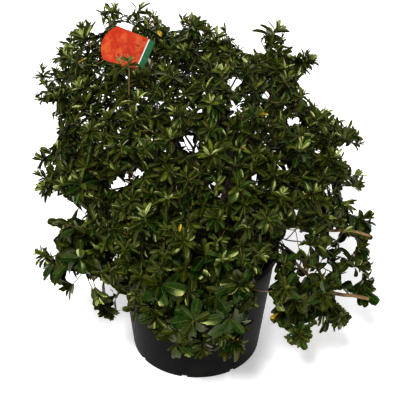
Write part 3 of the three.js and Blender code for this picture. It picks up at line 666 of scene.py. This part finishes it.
# ---- Twigs -----------------------------------------------------------------------------------------------
# From each bough's end the wood branches on: a twig joins the nearest older one that leads back by a short
# way, bows and turns up at its tip. Old twigs are grey-brown, young ones are red-brown, tan or still green.

SPREAD, RISE, DROP = 0.307, 0.360, 0.176  # of the dome round the heart
SQUARENESS = 2.6
PUFF_DEPTH, PUFF_ANGLE = 0.022, 30  # how far a mass falls back, and at what angle from its middle
# Where the crown stands out from the dome or falls short of it: azimuth, climb, width, and how much.
SWELLS = [
    (151, 37, 18, 0.067), (124, 52, 18, 0.029), (83, 57, 18, -0.040), (45, 48, 18, -0.022),
    (23, 31, 18, -0.077), (-23, -31, 18, 0.092), (-8, -12, 18, 0.015), (180, -2, 18, -0.038),
    (168, 18, 18, -0.022), (-164, -23, 18, 0.012), (-90, -34, 18, 0.033), (-55, -32, 15, -0.050),
    (-125, -32, 15, -0.060),
]
# Shoots that end clear of the dome: azimuth, radius and height of the tip.
SHOOTS = [
    # Along the top.
    (174, 0.178, 0.733), (176, 0.157, 0.748), (167, 0.091, 0.731), (118, 0.045, 0.720), (180, 0.026, 0.729),
    (60, 0.012, 0.718), (30, 0.080, 0.684), (10, 0.126, 0.688), (14, 0.156, 0.686), (7, 0.200, 0.656),
    (175, 0.214, 0.684), (175, 0.253, 0.647), (0, 0.162, 0.661), (0, 0.146, 0.676), (5, 0.178, 0.650),
    (-5, 0.172, 0.634), (3, 0.190, 0.638),
    # At the left.
    (174, 0.306, 0.612), (180, 0.298, 0.598), (178, 0.284, 0.572), (180, 0.316, 0.430), (-178, 0.319, 0.402),
    (180, 0.302, 0.366), (180, 0.272, 0.278), (180, 0.262, 0.262), (-171, 0.302, 0.236), (-170, 0.284, 0.246),
    (-167, 0.262, 0.202), (-166, 0.244, 0.214), (-137, 0.252, 0.202), (-134, 0.242, 0.186),
    # At the right.
    (0, 0.262, 0.504), (-4, 0.306, 0.508), (-2, 0.314, 0.486), (-8, 0.322, 0.415), (-4, 0.322, 0.308),
    (-3, 0.330, 0.278), (-16, 0.338, 0.300), (-10, 0.338, 0.164), (-12, 0.316, 0.146),
    # The low cluster at the right of the front.
    (-45, 0.211, 0.209), (-46, 0.236, 0.180), (-39, 0.237, 0.189), (-44, 0.273, 0.158), (-37, 0.280, 0.176),
    (-30, 0.296, 0.176), (-24, 0.314, 0.190), (-27, 0.269, 0.195), (-30, 0.340, 0.186), (-46, 0.296, 0.168),
    # Hanging in front of the pot.
    (-77, 0.246, 0.152), (-92, 0.250, 0.186), (-75, 0.254, 0.207), (-106, 0.244, 0.236), (-86, 0.251, 0.222),
    # At the back.
    (100, 0.334, 0.430), (80, 0.332, 0.360), (65, 0.325, 0.470), (118, 0.330, 0.500), (135, 0.325, 0.440),
    (45, 0.325, 0.400), (75, 0.334, 0.260), (102, 0.330, 0.240), (125, 0.325, 0.270), (50, 0.325, 0.250),
    # Standing out at the front.
    (-95, 0.316, 0.460), (-75, 0.320, 0.400), (-110, 0.314, 0.360), (-60, 0.316, 0.430), (-84, 0.290, 0.550),
]
# The leaders at the front, which carry the largest and palest rosettes: azimuth and climb.
LEADERS = [
    (-117, 69), (-85, 60), (-102, 57), (-62, 55), (-122, 54), (-102, 50), (-86, 46), (-47, 43),
    (-28, 35), (-61, 33), (-46, 30), (-100, 34), (-108, 28), (-83, 29), (-114, 15), (-82, 15),
    (-77, 6), (-103, 5), (-78, -9),
]
# Gaps that one sees through from the front: where each crosses the middle of the plant, and its radius.
STAND = Vector((0, -1.935, 1.583))
GAPS = [
    (-0.020, 0.469, 0.017), (-0.116, 0.403, 0.009), (-0.147, 0.382, 0.011), (-0.134, 0.388, 0.009),
    (0.061, 0.597, 0.010), (0.168, 0.520, 0.007), (0.121, 0.571, 0.008), (0.169, 0.422, 0.008),
    (0.107, 0.399, 0.008), (0.035, 0.379, 0.007), (0.186, 0.245, 0.018), (0.184, 0.270, 0.008),
    (0.205, 0.262, 0.009), (0.222, 0.230, 0.009), (0.240, 0.262, 0.007), (0.247, 0.205, 0.009),
    (0.264, 0.238, 0.008), (0.272, 0.272, 0.009), (0.232, 0.176, 0.007), (0.262, 0.176, 0.008),
    (0.206, 0.196, 0.008), (0.212, 0.160, 0.007), (0.192, 0.318, 0.006), (0.242, 0.322, 0.006),
    (-0.159, 0.377, 0.008), (-0.184, 0.372, 0.006), (0.018, 0.379, 0.007), (0.051, 0.377, 0.006),
    (0.048, 0.345, 0.006), (-0.219, 0.519, 0.006), (-0.039, 0.578, 0.005), (-0.055, 0.522, 0.005),
    (0.157, 0.547, 0.006), (0.181, 0.522, 0.006), (0.253, 0.370, 0.008), (0.224, 0.458, 0.006),
    # Where the side of the pot shows, between the skirt and the low cluster.
    (0.142, 0.178, 0.010), (0.136, 0.139, 0.016), (0.135, 0.101, 0.016), (0.128, 0.059, 0.015),
    (0.144, 0.066, 0.010), (0.150, 0.088, 0.008),
    # Notches in the outline.
    (-0.180, 0.705, 0.012), (0.218, 0.622, 0.012), (-0.235, 0.308, 0.014), (-0.300, 0.261, 0.012),
    (-0.223, 0.094, 0.012), (-0.230, 0.119, 0.010), (-0.218, 0.132, 0.008), (-0.181, 0.123, 0.009),
    (-0.201, 0.138, 0.008), (-0.153, 0.092, 0.010),
    (-0.258, 0.318, 0.019), (-0.286, 0.313, 0.015), (-0.224, 0.306, 0.012), (-0.238, 0.134, 0.016),
    (-0.257, 0.154, 0.012), (-0.238, 0.103, 0.014), (0.091, 0.679, 0.016), (0.069, 0.694, 0.016),
    (0.060, 0.718, 0.018), (0.034, 0.734, 0.012), (0.109, 0.668, 0.009), (0.216, 0.581, 0.017),
    (0.196, 0.601, 0.013), (0.230, 0.561, 0.011), (0.275, 0.557, 0.012), (-0.278, 0.539, 0.012),
    (-0.278, 0.505, 0.013), (-0.285, 0.466, 0.012), (-0.286, 0.261, 0.010), (-0.287, 0.217, 0.010),
    (0.284, 0.452, 0.012), (0.304, 0.428, 0.010), (0.290, 0.362, 0.014), (0.316, 0.340, 0.009),
    (0.300, 0.248, 0.014), (0.312, 0.167, 0.015), (0.296, 0.113, 0.013), (0.318, 0.095, 0.010),
    (-0.136, 0.704, 0.012), (-0.128, 0.741, 0.008), (-0.060, 0.722, 0.012), (-0.045, 0.708, 0.010),
]
# Shells of sprigs: their kind, their depth under the reach, how many, and how far down they go.
SHELLS = [
    ("leader", 0.006, 190, -0.62), ("outer", 0.028, 740, -0.62), ("outer", 0.034, 340, 0.42),
    ("inner", 0.060, 330, -0.62), ("inner", 0.068, 160, 0.42), ("inner", 0.098, 160, -0.62),
    ("inner", 0.145, 80, -0.62),
]
RISES = {"skirt": 0.6, "shoulder": 1.6, "top": 1.9}  # how strongly the tips of each tier turn up
STRAY = 0.011  # how far a sprig may lie from its even place
LEADER_DEPTH, LEADER_ROOM = 0.004, 11  # under the reach, and in degrees to the next leader
SPRIG_BACK, SPRIG_CLEAR = 0.016, 0.006  # a shoot's sprig behind its tip, and every sprig off the pot
CLUMP, CLUMP_WIDTH = 0.042, 0.13  # how far clumps stand out or fall back, and their width seen from the heart
random = np.random.default_rng(12)


def unit(ways):
    return ways / np.linalg.norm(ways, axis=-1, keepdims=True)


def towards(azimuth, climb):
    return around(azimuth, math.cos(math.radians(climb)), math.sin(math.radians(climb)))


mass_ways = unit(np.array([tuple(mass["centre"] - HEART) for mass in masses]))
mass_centres = np.array([tuple(mass["centre"]) for mass in masses])


def reach(ways):
    """How far the crown reaches from its heart in each direction."""
    level = np.hypot(ways[:, 0], ways[:, 1]) / SPREAD
    upright = np.abs(ways[:, 2]) / np.where(ways[:, 2] > 0, RISE, DROP)
    far = (level**SQUARENESS + upright**SQUARENESS) ** (-1 / SQUARENESS)
    nearest = np.degrees(np.arccos(np.clip(ways @ mass_ways.T, -1, 1))).min(axis=1)
    far = far + PUFF_DEPTH * (0.4 - np.minimum(1, nearest / PUFF_ANGLE) ** 2)
    for azimuth, climb, width, out in SWELLS:
        off = np.degrees(np.arccos(np.clip(ways @ np.array(towards(azimuth, climb)), -1, 1))) / width
        far = far + out * np.exp(-off * off)
    return far


def directions(count, lowest):
    """Even directions from the heart, by the golden angle."""
    z = 1 - (1 - lowest) * (np.arange(count) + 0.5) / count
    turn = math.pi * (3 - math.sqrt(5)) * np.arange(count)
    level = np.sqrt(1 - z * z)
    return np.stack([level * np.cos(turn), level * np.sin(turn), z], axis=1)


def clumped(ways):
    return CLUMP * np.array([noise.noise(Vector(way) / CLUMP_WIDTH) for way in ways])


def clear(points, margin):
    """True for points that are off the pot and out of the gaps, whose edges wander."""
    away = (points[:, 2] > POT_HEIGHT + margin) | (np.hypot(points[:, 0], points[:, 1]) > RIM_RADIUS + margin)
    stand = np.array(STAND)
    for x, z, radius in GAPS:
        sight = unit(np.array([x, 0, z]) - stand)
        off = points - stand
        off = off - (off @ sight)[:, None] * sight
        about = np.arctan2(off[:, 2], off[:, 0])
        edge = radius * (1 + 0.3 * np.sin(3 * about + 90 * x) + 0.2 * np.sin(5 * about + 90 * z))
        away &= np.linalg.norm(off, axis=1) > edge
    return away


heart = np.array(HEART)
leader_ways = np.array([tuple(towards(*leader)) for leader in LEADERS])
places = [heart + leader_ways * (reach(leader_ways) - LEADER_DEPTH)[:, None]]
kinds = ["leader"] * len(LEADERS)
for kind, depth, count, lowest in SHELLS:
    ways = directions(count, lowest)
    if kind == "leader":
        ways = ways[(ways @ leader_ways.T).max(axis=1) < math.cos(math.radians(LEADER_ROOM))]
    far = reach(ways) - depth + clumped(ways)
    places.append(heart + ways * far[:, None] + random.uniform(-STRAY, STRAY, ways.shape))
    kinds += [kind] * len(ways)
shoot_tips = np.array([tuple(around(*shoot)) for shoot in SHOOTS])
places.append(shoot_tips - unit(shoot_tips - heart) * SPRIG_BACK)
kinds += ["shoot"] * len(SHOOTS)
places, kinds = np.concatenate(places), np.array(kinds)
kept = clear(places, SPRIG_CLEAR)
places, kinds = places[kept], kinds[kept]
middles = np.vstack([mass_centres, heart])
nearest = np.linalg.norm(places[:, None] - middles[None], axis=2).argmin(axis=1)

BOUGH_RUN = 0.016  # how far a bough's line runs straight on into its mass
WAY_COST, GAP_COST = 0.3, 0.1  # what counts beside the distance: the way back to the bough, and a gap
ELBOW, SAG = 0.55, 0.08  # of a twig: where it bends, and how far it sags there, as shares of its length


def grow(mass, wanted, wanted_kinds):
    """A mass's twigs, as nodes: place, parent, way back to the bough, direction and kind."""
    start = np.array(mass["line"][-1])
    heading = unit(start - np.array(mass["line"][-2]))
    at = [start, start + heading * BOUGH_RUN, np.array(mass["centre"])]
    parent, way = [-1, 0, 1], [0, BOUGH_RUN, np.linalg.norm(at[2] - at[0])]
    heading_in = [heading, heading, unit(at[2] - at[1])]
    kind = ["wood", "wood", "wood"]
    for i in np.argsort(np.linalg.norm(wanted - start, axis=1)):
        place = wanted[i]
        nodes = np.array(at[1:])
        cost = np.linalg.norm(nodes - place, axis=1) + WAY_COST * np.array(way[1:])
        cost[~clear((nodes + place) / 2, 0)] += GAP_COST
        best = 1 + int(cost.argmin())
        step = np.linalg.norm(place - at[best])
        middle = at[best] + (place - at[best]) * ELBOW + np.array([0, 0, -SAG * step])
        rise = RISES[mass["tier"]] + 0.3 * (wanted_kinds[i] == "leader")
        axis = unit(unit(place - heart) + unit(place - middle) + np.array([0, 0, rise]))
        at += [middle, place]
        parent += [best, len(at) - 2]
        way += [way[best] + np.linalg.norm(middle - at[best])] * 2
        way[-1] += np.linalg.norm(place - middle)
        heading_in += [unit(place - at[best]), axis]
        kind += ["wood", wanted_kinds[i]]
    return np.array(at), np.array(parent), np.array(heading_in), kind


TWIG_TIP, TWIG_MOST, TWIG_SPLIT = 0.0007, 0.0026, 3.1


def twig_radii(parent, kind):
    """Thickness from the tips down: what a twig carries adds up."""
    load = np.zeros(len(parent))
    for i in range(len(parent) - 1, 0, -1):
        load[i] = max(load[i], TWIG_TIP**TWIG_SPLIT)
        load[parent[i]] += load[i]
    return np.minimum(load ** (1 / TWIG_SPLIT), TWIG_MOST)


TWIG_SIDES, TWIG_STEPS = 5, 4
OLD_TWIG = 0.00125  # the radius over which a twig has old bark
wood = {tier: ([], [], []) for tier in TIERS}
sprigs = []


def add_twig(tier, line, foot, tip, age):
    """A twig along a line, from its radius at the foot to that at the tip, in the bark of its age."""
    vertices, faces, finishes = wood[tier]
    made, sides = limb_mesh(line, np.linspace(foot, tip, len(line)), TWIG_SIDES, lambda point, radius: 0)
    join(vertices, faces, made, sides)
    finishes += [age] * len(sides)


for index, mass in enumerate(masses):
    own = nearest == index
    at, parent, headings, kind = grow(mass, places[own], kinds[own])
    radii = twig_radii(parent, kind)
    carries = set(parent)
    for i in range(1, len(at)):
        start, end = Vector(at[parent[i]]), Vector(at[i])
        length = (end - start).length
        leaving = Vector(headings[parent[i]]) * 0.35 + (end - start).normalized() * 0.65
        pull_out, pull_in = leaving * length * 0.8, Vector(headings[i]) * length * 0.8
        line = [curve(start, end, pull_out, pull_in, t) for t in np.linspace(0, 1, TWIG_STEPS + 1)]
        age = 0 if radii[i] > OLD_TWIG else 1 + int(random.uniform() < 0.4) + int(random.uniform() < 0.2)
        add_twig(mass["tier"], line, min(radii[parent[i]], radii[i] * 1.25), radii[i], age)
        if kind[i] != "wood":
            sprigs.append((line, Vector(headings[i]), kind[i], index, i in carries))

# A long pale shoot stands straight up in front of the label.
SHOOT_FOOT, SHOOT_TIP = Vector((-0.123, -0.122, 0.606)), Vector((-0.121, -0.124, 0.700))
top_ends = [sprig[0][-1] for sprig in sprigs if masses[sprig[3]]["tier"] == "top"]
base = min(top_ends, key=lambda end: (end - SHOOT_FOOT).length)
line = through(bowed([base, SHOOT_FOOT, SHOOT_TIP]), 16)
add_twig("top", line, 0.0015, 0.0010, 2)
sprigs.append((line, Vector((0.05, -0.25, 1)).normalized(), "young", masses.index(tops[5]), False))

# Two old stems run out bare at the right, each with its radius at both ends and its route. One is whole, and
# one is cut back to a stub that has swollen.
BARE_STEMS = [
    (
        0.0036, 0.0028,
        (0.195, -0.110, 0.361), (0.245, -0.112, 0.351), (0.283, -0.109, 0.350), (0.322, -0.110, 0.339),
    ),
    (
        0.0026, 0.0040,
        (0.247, -0.100, 0.207), (0.277, -0.103, 0.196), (0.301, -0.098, 0.191), (0.334, -0.100, 0.185),
    ),
]
bough_ends = [Vector(mass["line"][-1]) for mass in masses]
for foot, tip, *route in BARE_STEMS:
    route = [Vector(point) for point in route]
    base = min(bough_ends, key=lambda end: (end - route[0]).length)
    add_twig("shoulder", through(bowed([base, *route]), 16), foot, tip, 2)


def twig_skin(dark, pale):
    def build(shade):
        tone = shade.grain(300, 4, 0.6, (1, 1, 0.5))
        return {
            "Base Color": tone.between(0.3, 0.7).mix(dark, pale),
            "Roughness": 0.75 - tone * 0.25,
            "bump": (0.0002, tone),
        }

    return build


twig_materials = [
    add_material("old_twig", twig_skin((0.06, 0.038, 0.024), (0.17, 0.12, 0.08))),
    add_material("red_twig", twig_skin((0.10, 0.035, 0.018), (0.24, 0.10, 0.045))),
    add_material("tan_twig", twig_skin((0.16, 0.09, 0.035), (0.34, 0.22, 0.09))),
    add_material("green_twig", twig_skin((0.10, 0.12, 0.03), (0.24, 0.27, 0.09))),
]
for tier, (vertices, faces, finishes) in wood.items():
    add_piece(f"twigs_{tier}", vertices, faces, twig_materials, "bark", finishes=finishes)

# ---- Leaves ----------------------------------------------------------------------------------------------
# Small leathery leaves, widest past their middle, with a pale midrib. They stand in rosettes at the twigs'
# ends: old ones level or drooping and dark, and the last ones steep, small and yellow-green.

LEAF_STATIONS = (0.0, 0.2, 0.45, 0.7, 0.9)
LEAF_RIB = 0.00046
STALK = 0.00060
LEAF_PARTS = len(LEAF_STATIONS) * 4 + 1  # its vertices, of which the last is the tip
LEAF_STRIPS = ((0, 1, 0), (1, 3, 1), (3, 2, 0))  # blade, midrib and blade: two vertices, and 1 for midrib
GREENS = {
    "dark_leaf": (0.018, 0.026, 0.0010),
    "deep_leaf": (0.0085, 0.038, 0.0020),
    "mature_leaf": (0.023, 0.039, 0.0020),
    "olive_leaf": (0.044, 0.049, 0.003),
    "fresh_leaf": (0.115, 0.150, 0.017),
    "young_leaf": (0.440, 0.490, 0.200),
    "yellow_leaf": (0.62, 0.40, 0.03),
    "orange_leaf": (0.52, 0.20, 0.03),
}
# Of each tier: the shares of dark, deep, mature and olive among its old leaves, how large, broad, pointed
# and hanging its leaves are, and how readily its young ones show pale.
LEAF_HABITS = {
    "skirt": {
        "shares": (0.26, 0.52, 0.16, 0.06),
        "large": 1.13, "broad": 0.45, "point": 0.50, "hang": 0.5, "pale": 0.18,
    },
    "shoulder": {
        "shares": (0.34, 0.30, 0.22, 0.14),
        "large": 0.83, "broad": 0.34, "point": 0.62, "hang": 0.22, "pale": 1.0,
    },
    "top": {
        "shares": (0.38, 0.18, 0.24, 0.20),
        "large": 0.79, "broad": 0.33, "point": 0.66, "hang": 0.14, "pale": 1.0,
    },
}
WAX = (1.0, 1.0, 0.42, 1.0)  # the tint of the gloss


def leaf_skin(colour):
    """A waxy upper surface, mottled a little, with fine veins."""

    def build(shade):
        tone = shade.grain(150, 3, 0.55)
        veins = shade.grain(900, 2)
        low = tuple(part * 0.72 for part in colour)
        high = tuple(min(1, part * 1.28) for part in colour)
        return {
            "Base Color": tone.between(0.3, 0.7).mix(low, high),
            "Roughness": 0.17 + tone * 0.20,
            "bump": (0.00018, veins),
        }

    return build


leaf_materials = [
    add_material(name, leaf_skin(colour), Specular_IOR_Level=0.48, Specular_Tint=WAX)
    for name, colour in GREENS.items()
]
leaf_materials.append(add_material("midrib", leaf_skin((0.12, 0.15, 0.022)), Specular_IOR_Level=0.2))
MATURE, OLIVE, FRESH, YOUNG, YELLOW, ORANGE, MIDRIB = range(2, 9)  # finishes, by their place


def leaf_width(share, point):
    """Half the leaf's width along its length, as a share of the widest. Point says how slim its tip is."""
    widest = 0.9 / (0.9 + point)
    return (share / widest) ** 0.9 * ((1 - share) / (1 - widest)) ** point


def leaf_meshes(rows):
    """Vertices, triangles and finishes of many leaves, from rows as rosette makes them."""
    root, along, up = (np.array([row[k] for row in rows]) for k in range(3))
    length, width, droop, fold, point = (
        np.array([row[k] for row in rows], float)[:, None] for k in (3, 4, 5, 6, 7)
    )
    side = np.cross(along, up)
    parts = []
    for share in (*LEAF_STATIONS, 1.0):
        bend = droop * share
        safe = np.where(np.abs(droop) < 1e-3, 1e-3, droop)
        forward = length * np.sin(safe * share) / safe
        down = length * (1 - np.cos(safe * share)) / safe
        centre = root + along * forward - up * down
        if share == 1.0:
            parts.append(centre)
            continue
        normal = up * np.cos(bend) + along * np.sin(bend)
        half = np.maximum(width / 2 * leaf_width(share, point), STALK)
        for edge in (-1, 1):
            parts.append(centre + side * half * edge * np.cos(fold) + normal * half * np.sin(fold))
            parts.append(centre + side * LEAF_RIB * edge)
    vertices = np.stack(parts, axis=1).reshape(-1, 3)
    faces, finish = [], []
    for a in range(0, LEAF_PARTS - 1, 4):
        b = a + 4
        for left, right, kind in LEAF_STRIPS:
            strip = [(a + left, a + right, b + right), (a + left, b + right, b + left)]
            if b == LEAF_PARTS - 1:
                strip = [(a + left, a + right, b)]
            faces += strip
            finish += [kind] * len(strip)
    faces, finish = np.array(faces), np.array(finish)
    starts = np.arange(len(rows)) * LEAF_PARTS
    triangles = (faces[None] + starts[:, None, None]).reshape(-1, 3)
    own = np.array([row[8] for row in rows])[:, None]
    return vertices, triangles, np.where(finish[None] == 1, MIDRIB, own).reshape(-1).astype(np.int32)


# Of a rosette: how many leaves, its size, how far back along the twig they stand, and how often it is pale.
ROSETTES = {
    "leader": (22, 1.14, 0.026, 0.9), "outer": (17, 1.0, 0.030, 0.24), "inner": (12, 0.96, 0.034, 0.0),
    "shoot": (22, 1.0, 0.045, 0.2), "young": (13, 0.80, 0.014, 1.0),
}
ODD_LEAVES = 0.005  # the share of old leaves that have turned yellow or orange
STEEP, OPEN = 13, 82  # the angle of the last leaf from the twig, and what the oldest has more
LAST_LENGTH, MORE_LENGTH = 0.019, 0.0115
TURN = 2.399963  # the golden angle, from each leaf to the next


def rosette(line, axis, kind, tier, carries):
    """The leaves of one twig's end, oldest first, round the golden angle."""
    habit = LEAF_HABITS[tier]
    olds = habit["shares"]
    count, size, back, pale = ROSETTES[kind]
    size *= habit["large"] * random.uniform(0.74, 1.26)
    bare = carries and kind != "leader"
    count -= 4 * bare + int(random.uniform(0, 5))
    if kind != "leader":
        axis = (axis + Vector(random.normal(0, 0.24, 3))).normalized()
    across = axis.cross(Vector((0.3, 0.2, 1))).normalized()
    other = axis.cross(across)
    turn = random.uniform(0, 2 * math.pi)
    pale = random.uniform() < pale * habit["pale"]
    old = random.choice(4, p=olds)
    stem = through(line, 25)
    long = sum((b - a).length for a, b in zip(line, line[1:]))
    rows = []
    for leaf in range(count):
        age = 1 - leaf / (count - 1)  # 1 is the oldest
        turn += TURN + random.normal(0, 0.12)
        out = across * math.cos(turn) + other * math.sin(turn)
        spread = math.radians(STEEP + OPEN * age**0.8 + random.normal(0, 11)) + 0.25 * bare
        length = (LAST_LENGTH + MORE_LENGTH * min(1, age * 1.9)) * random.uniform(0.78, 1.16) * size
        width = length * (habit["broad"] * (0.74 + 0.4 * min(1, age * 1.6)) + random.normal(0, 0.02))
        along = (axis * math.cos(spread) + out * math.sin(spread)).normalized()
        along = (along - Vector((0, 0, habit["hang"] * age))).normalized()
        up = axis - along * axis.dot(along)
        if up.length < 0.15:
            up = Vector((0, 0, 1)) - along * along.z
        up.normalize()
        up = (up + along.cross(up) * random.normal(0, 0.32)).normalized()
        root = stem[24 - round(24 * min(1, back * age**1.3 / long))]
        mood = random.uniform()
        if age > 0.42:
            finish = old if mood < 0.5 else random.choice(4, p=olds)
        elif age > 0.2:
            finish = FRESH if pale else (OLIVE if mood < 0.5 else MATURE)
        elif pale and mood < 0.8:
            finish = YOUNG
        else:
            finish = FRESH if mood < 0.4 * habit["pale"] else OLIVE
        if age > 0.4 and random.uniform() < ODD_LEAVES:
            finish = ORANGE if mood < 0.3 else YELLOW
        droop, fold = random.normal(0.42, 0.22) * (0.3 + age), random.normal(0.46, 0.15)
        rows.append((root, along, up, length, width, droop, fold, habit["point"], finish))
    return rows


leaf_rows = {(tier, half): [] for tier in TIERS for half in range(2)}
for line, axis, kind, index, carries in sprigs:
    mass = masses[index]
    leaf_rows[mass["tier"], mass["limb"] // 3] += rosette(line, axis, kind, mass["tier"], carries)

# The room of leaves: past the reach, round a free tip, off the pot, past the solids' box, and off the ends
# and faces of the label.
LEAF_PAST, LEAF_FREE, LEAF_CLEAR, LEAF_OUT = 0.014, 0.050, 0.0015, 0.018
CARD_END_ROOM, CARD_FACE_ROOM = 0.004, 0.009
card_back = np.array(CARD_TURN.transposed())
free_tips = np.vstack([shoot_tips, SHOOT_TIP])
cad_low, cad_high = (np.array(corner) for corner in cad_box)
for (tier, half), rows in leaf_rows.items():
    roots, alongs = np.array([row[0] for row in rows]), np.array([row[1] for row in rows])
    lengths = np.array([row[3] for row in rows])[:, None]
    good = np.ones(len(rows), bool)
    for share in (0.5, 0.75, 1.0):
        points = roots + alongs * lengths * share
        offs = points - heart
        far = np.linalg.norm(offs, axis=1)
        allowed = reach(offs / far[:, None]) + LEAF_PAST + np.maximum(0, clumped(offs / far[:, None]))
        shoot = np.linalg.norm(points[:, None] - free_tips[None], axis=2).min(axis=1) < LEAF_FREE
        good &= (far < allowed) | shoot
        good &= np.all((points > cad_low - LEAF_OUT) & (points < cad_high + LEAF_OUT), axis=1)
        good &= clear(points, LEAF_CLEAR)
        card_room = (CARD_LENGTH / 2 + CARD_END_ROOM, CARD_WIDTH / 2, CARD_FACE_ROOM)
        card_points = (points - np.array(CARD_CENTRE)) @ card_back.T
        good &= ~np.all(np.abs(card_points) < card_room, axis=1)
    vertices, faces, finishes = leaf_meshes([row for row, keep in zip(rows, good) if keep])
    piece = f"leaves_{tier}_{half + 1}"
    leaves = add_piece(piece, vertices, faces, leaf_materials, "foliage", finishes=finishes)
    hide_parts(*[f"foliage_{tier}_{3 * half + limb + 1}" for limb in range(3)])

# ---- Floor, light and camera -----------------------------------------------------------------------------
# A plain pale floor that glows a little, in a white studio. The key lamp stands above the front, a little to
# the left, with a soft one at the right and a softer one behind.

STUDIO_LIGHT = 0.33
floor_mesh = bpy.data.meshes.new("floor")
floor_mesh.from_pydata([(-9, -9, 0), (9, -9, 0), (9, 9, 0), (-9, 9, 0)], [], [(0, 1, 2, 3)])
floor = put("floor", floor_mesh)


def pale_floor(shade):
    tone = shade.grain(3, 2)
    return {"Base Color": tone.mix((0.90, 0.90, 0.90), (0.93, 0.93, 0.93)), "Roughness": 0.75 + tone * 0.1}


FLOOR_GLOW = 0.40  # a light table: it keeps the shadows on the floor pale
glow = {"Emission_Color": (1, 1, 1, 1), "Emission_Strength": FLOOR_GLOW}
floor_mesh.materials.append(add_material("pale_floor", pale_floor, **glow))

studio = bpy.data.worlds.new("studio")
studio.use_nodes = True
backdrop = studio.node_tree.nodes["Background"].inputs
backdrop["Color"].default_value, backdrop["Strength"].default_value = (1, 1, 1, 1), STUDIO_LIGHT
bpy.context.scene.world = studio


def add_lamp(name, azimuth, climb, strength, softness):
    """A distant lamp, seen from the plant at an azimuth and climb, and as wide as softness in degrees."""
    lamp = bpy.data.lights.new(name, "SUN")
    lamp.energy, lamp.angle = strength, math.radians(softness)
    put(name, lamp).rotation_euler = towards(azimuth, climb).to_track_quat("Z", "Y").to_euler()


add_lamp("key", -106, 50, 2.65, 10)
add_lamp("fill", -35, 38, 0.5, 30)
add_lamp("back", 90, 36, 0.9, 50)

CAMERA_PLACE = Vector((0, -1.9354, 1.5826))
CAMERA_PITCH, CAMERA_ROLL = 32.46, 0.98
CAMERA_LENS = 106.66
camera_data = bpy.data.cameras.new("camera")
camera_data.lens, camera_data.sensor_width = CAMERA_LENS, 36
camera_data.shift_x, camera_data.shift_y = 0.00375, -0.0105
camera = put("camera", camera_data)
camera.location = CAMERA_PLACE
tilt = Matrix.Rotation(math.radians(90 - CAMERA_PITCH), 3, "X")
camera.rotation_euler = (tilt @ Matrix.Rotation(math.radians(CAMERA_ROLL), 3, "Z")).to_euler()
bpy.context.scene.camera = camera
bpy.context.scene.view_settings.view_transform = "Standard"
bpy.context.scene.view_settings.gamma = 0.82
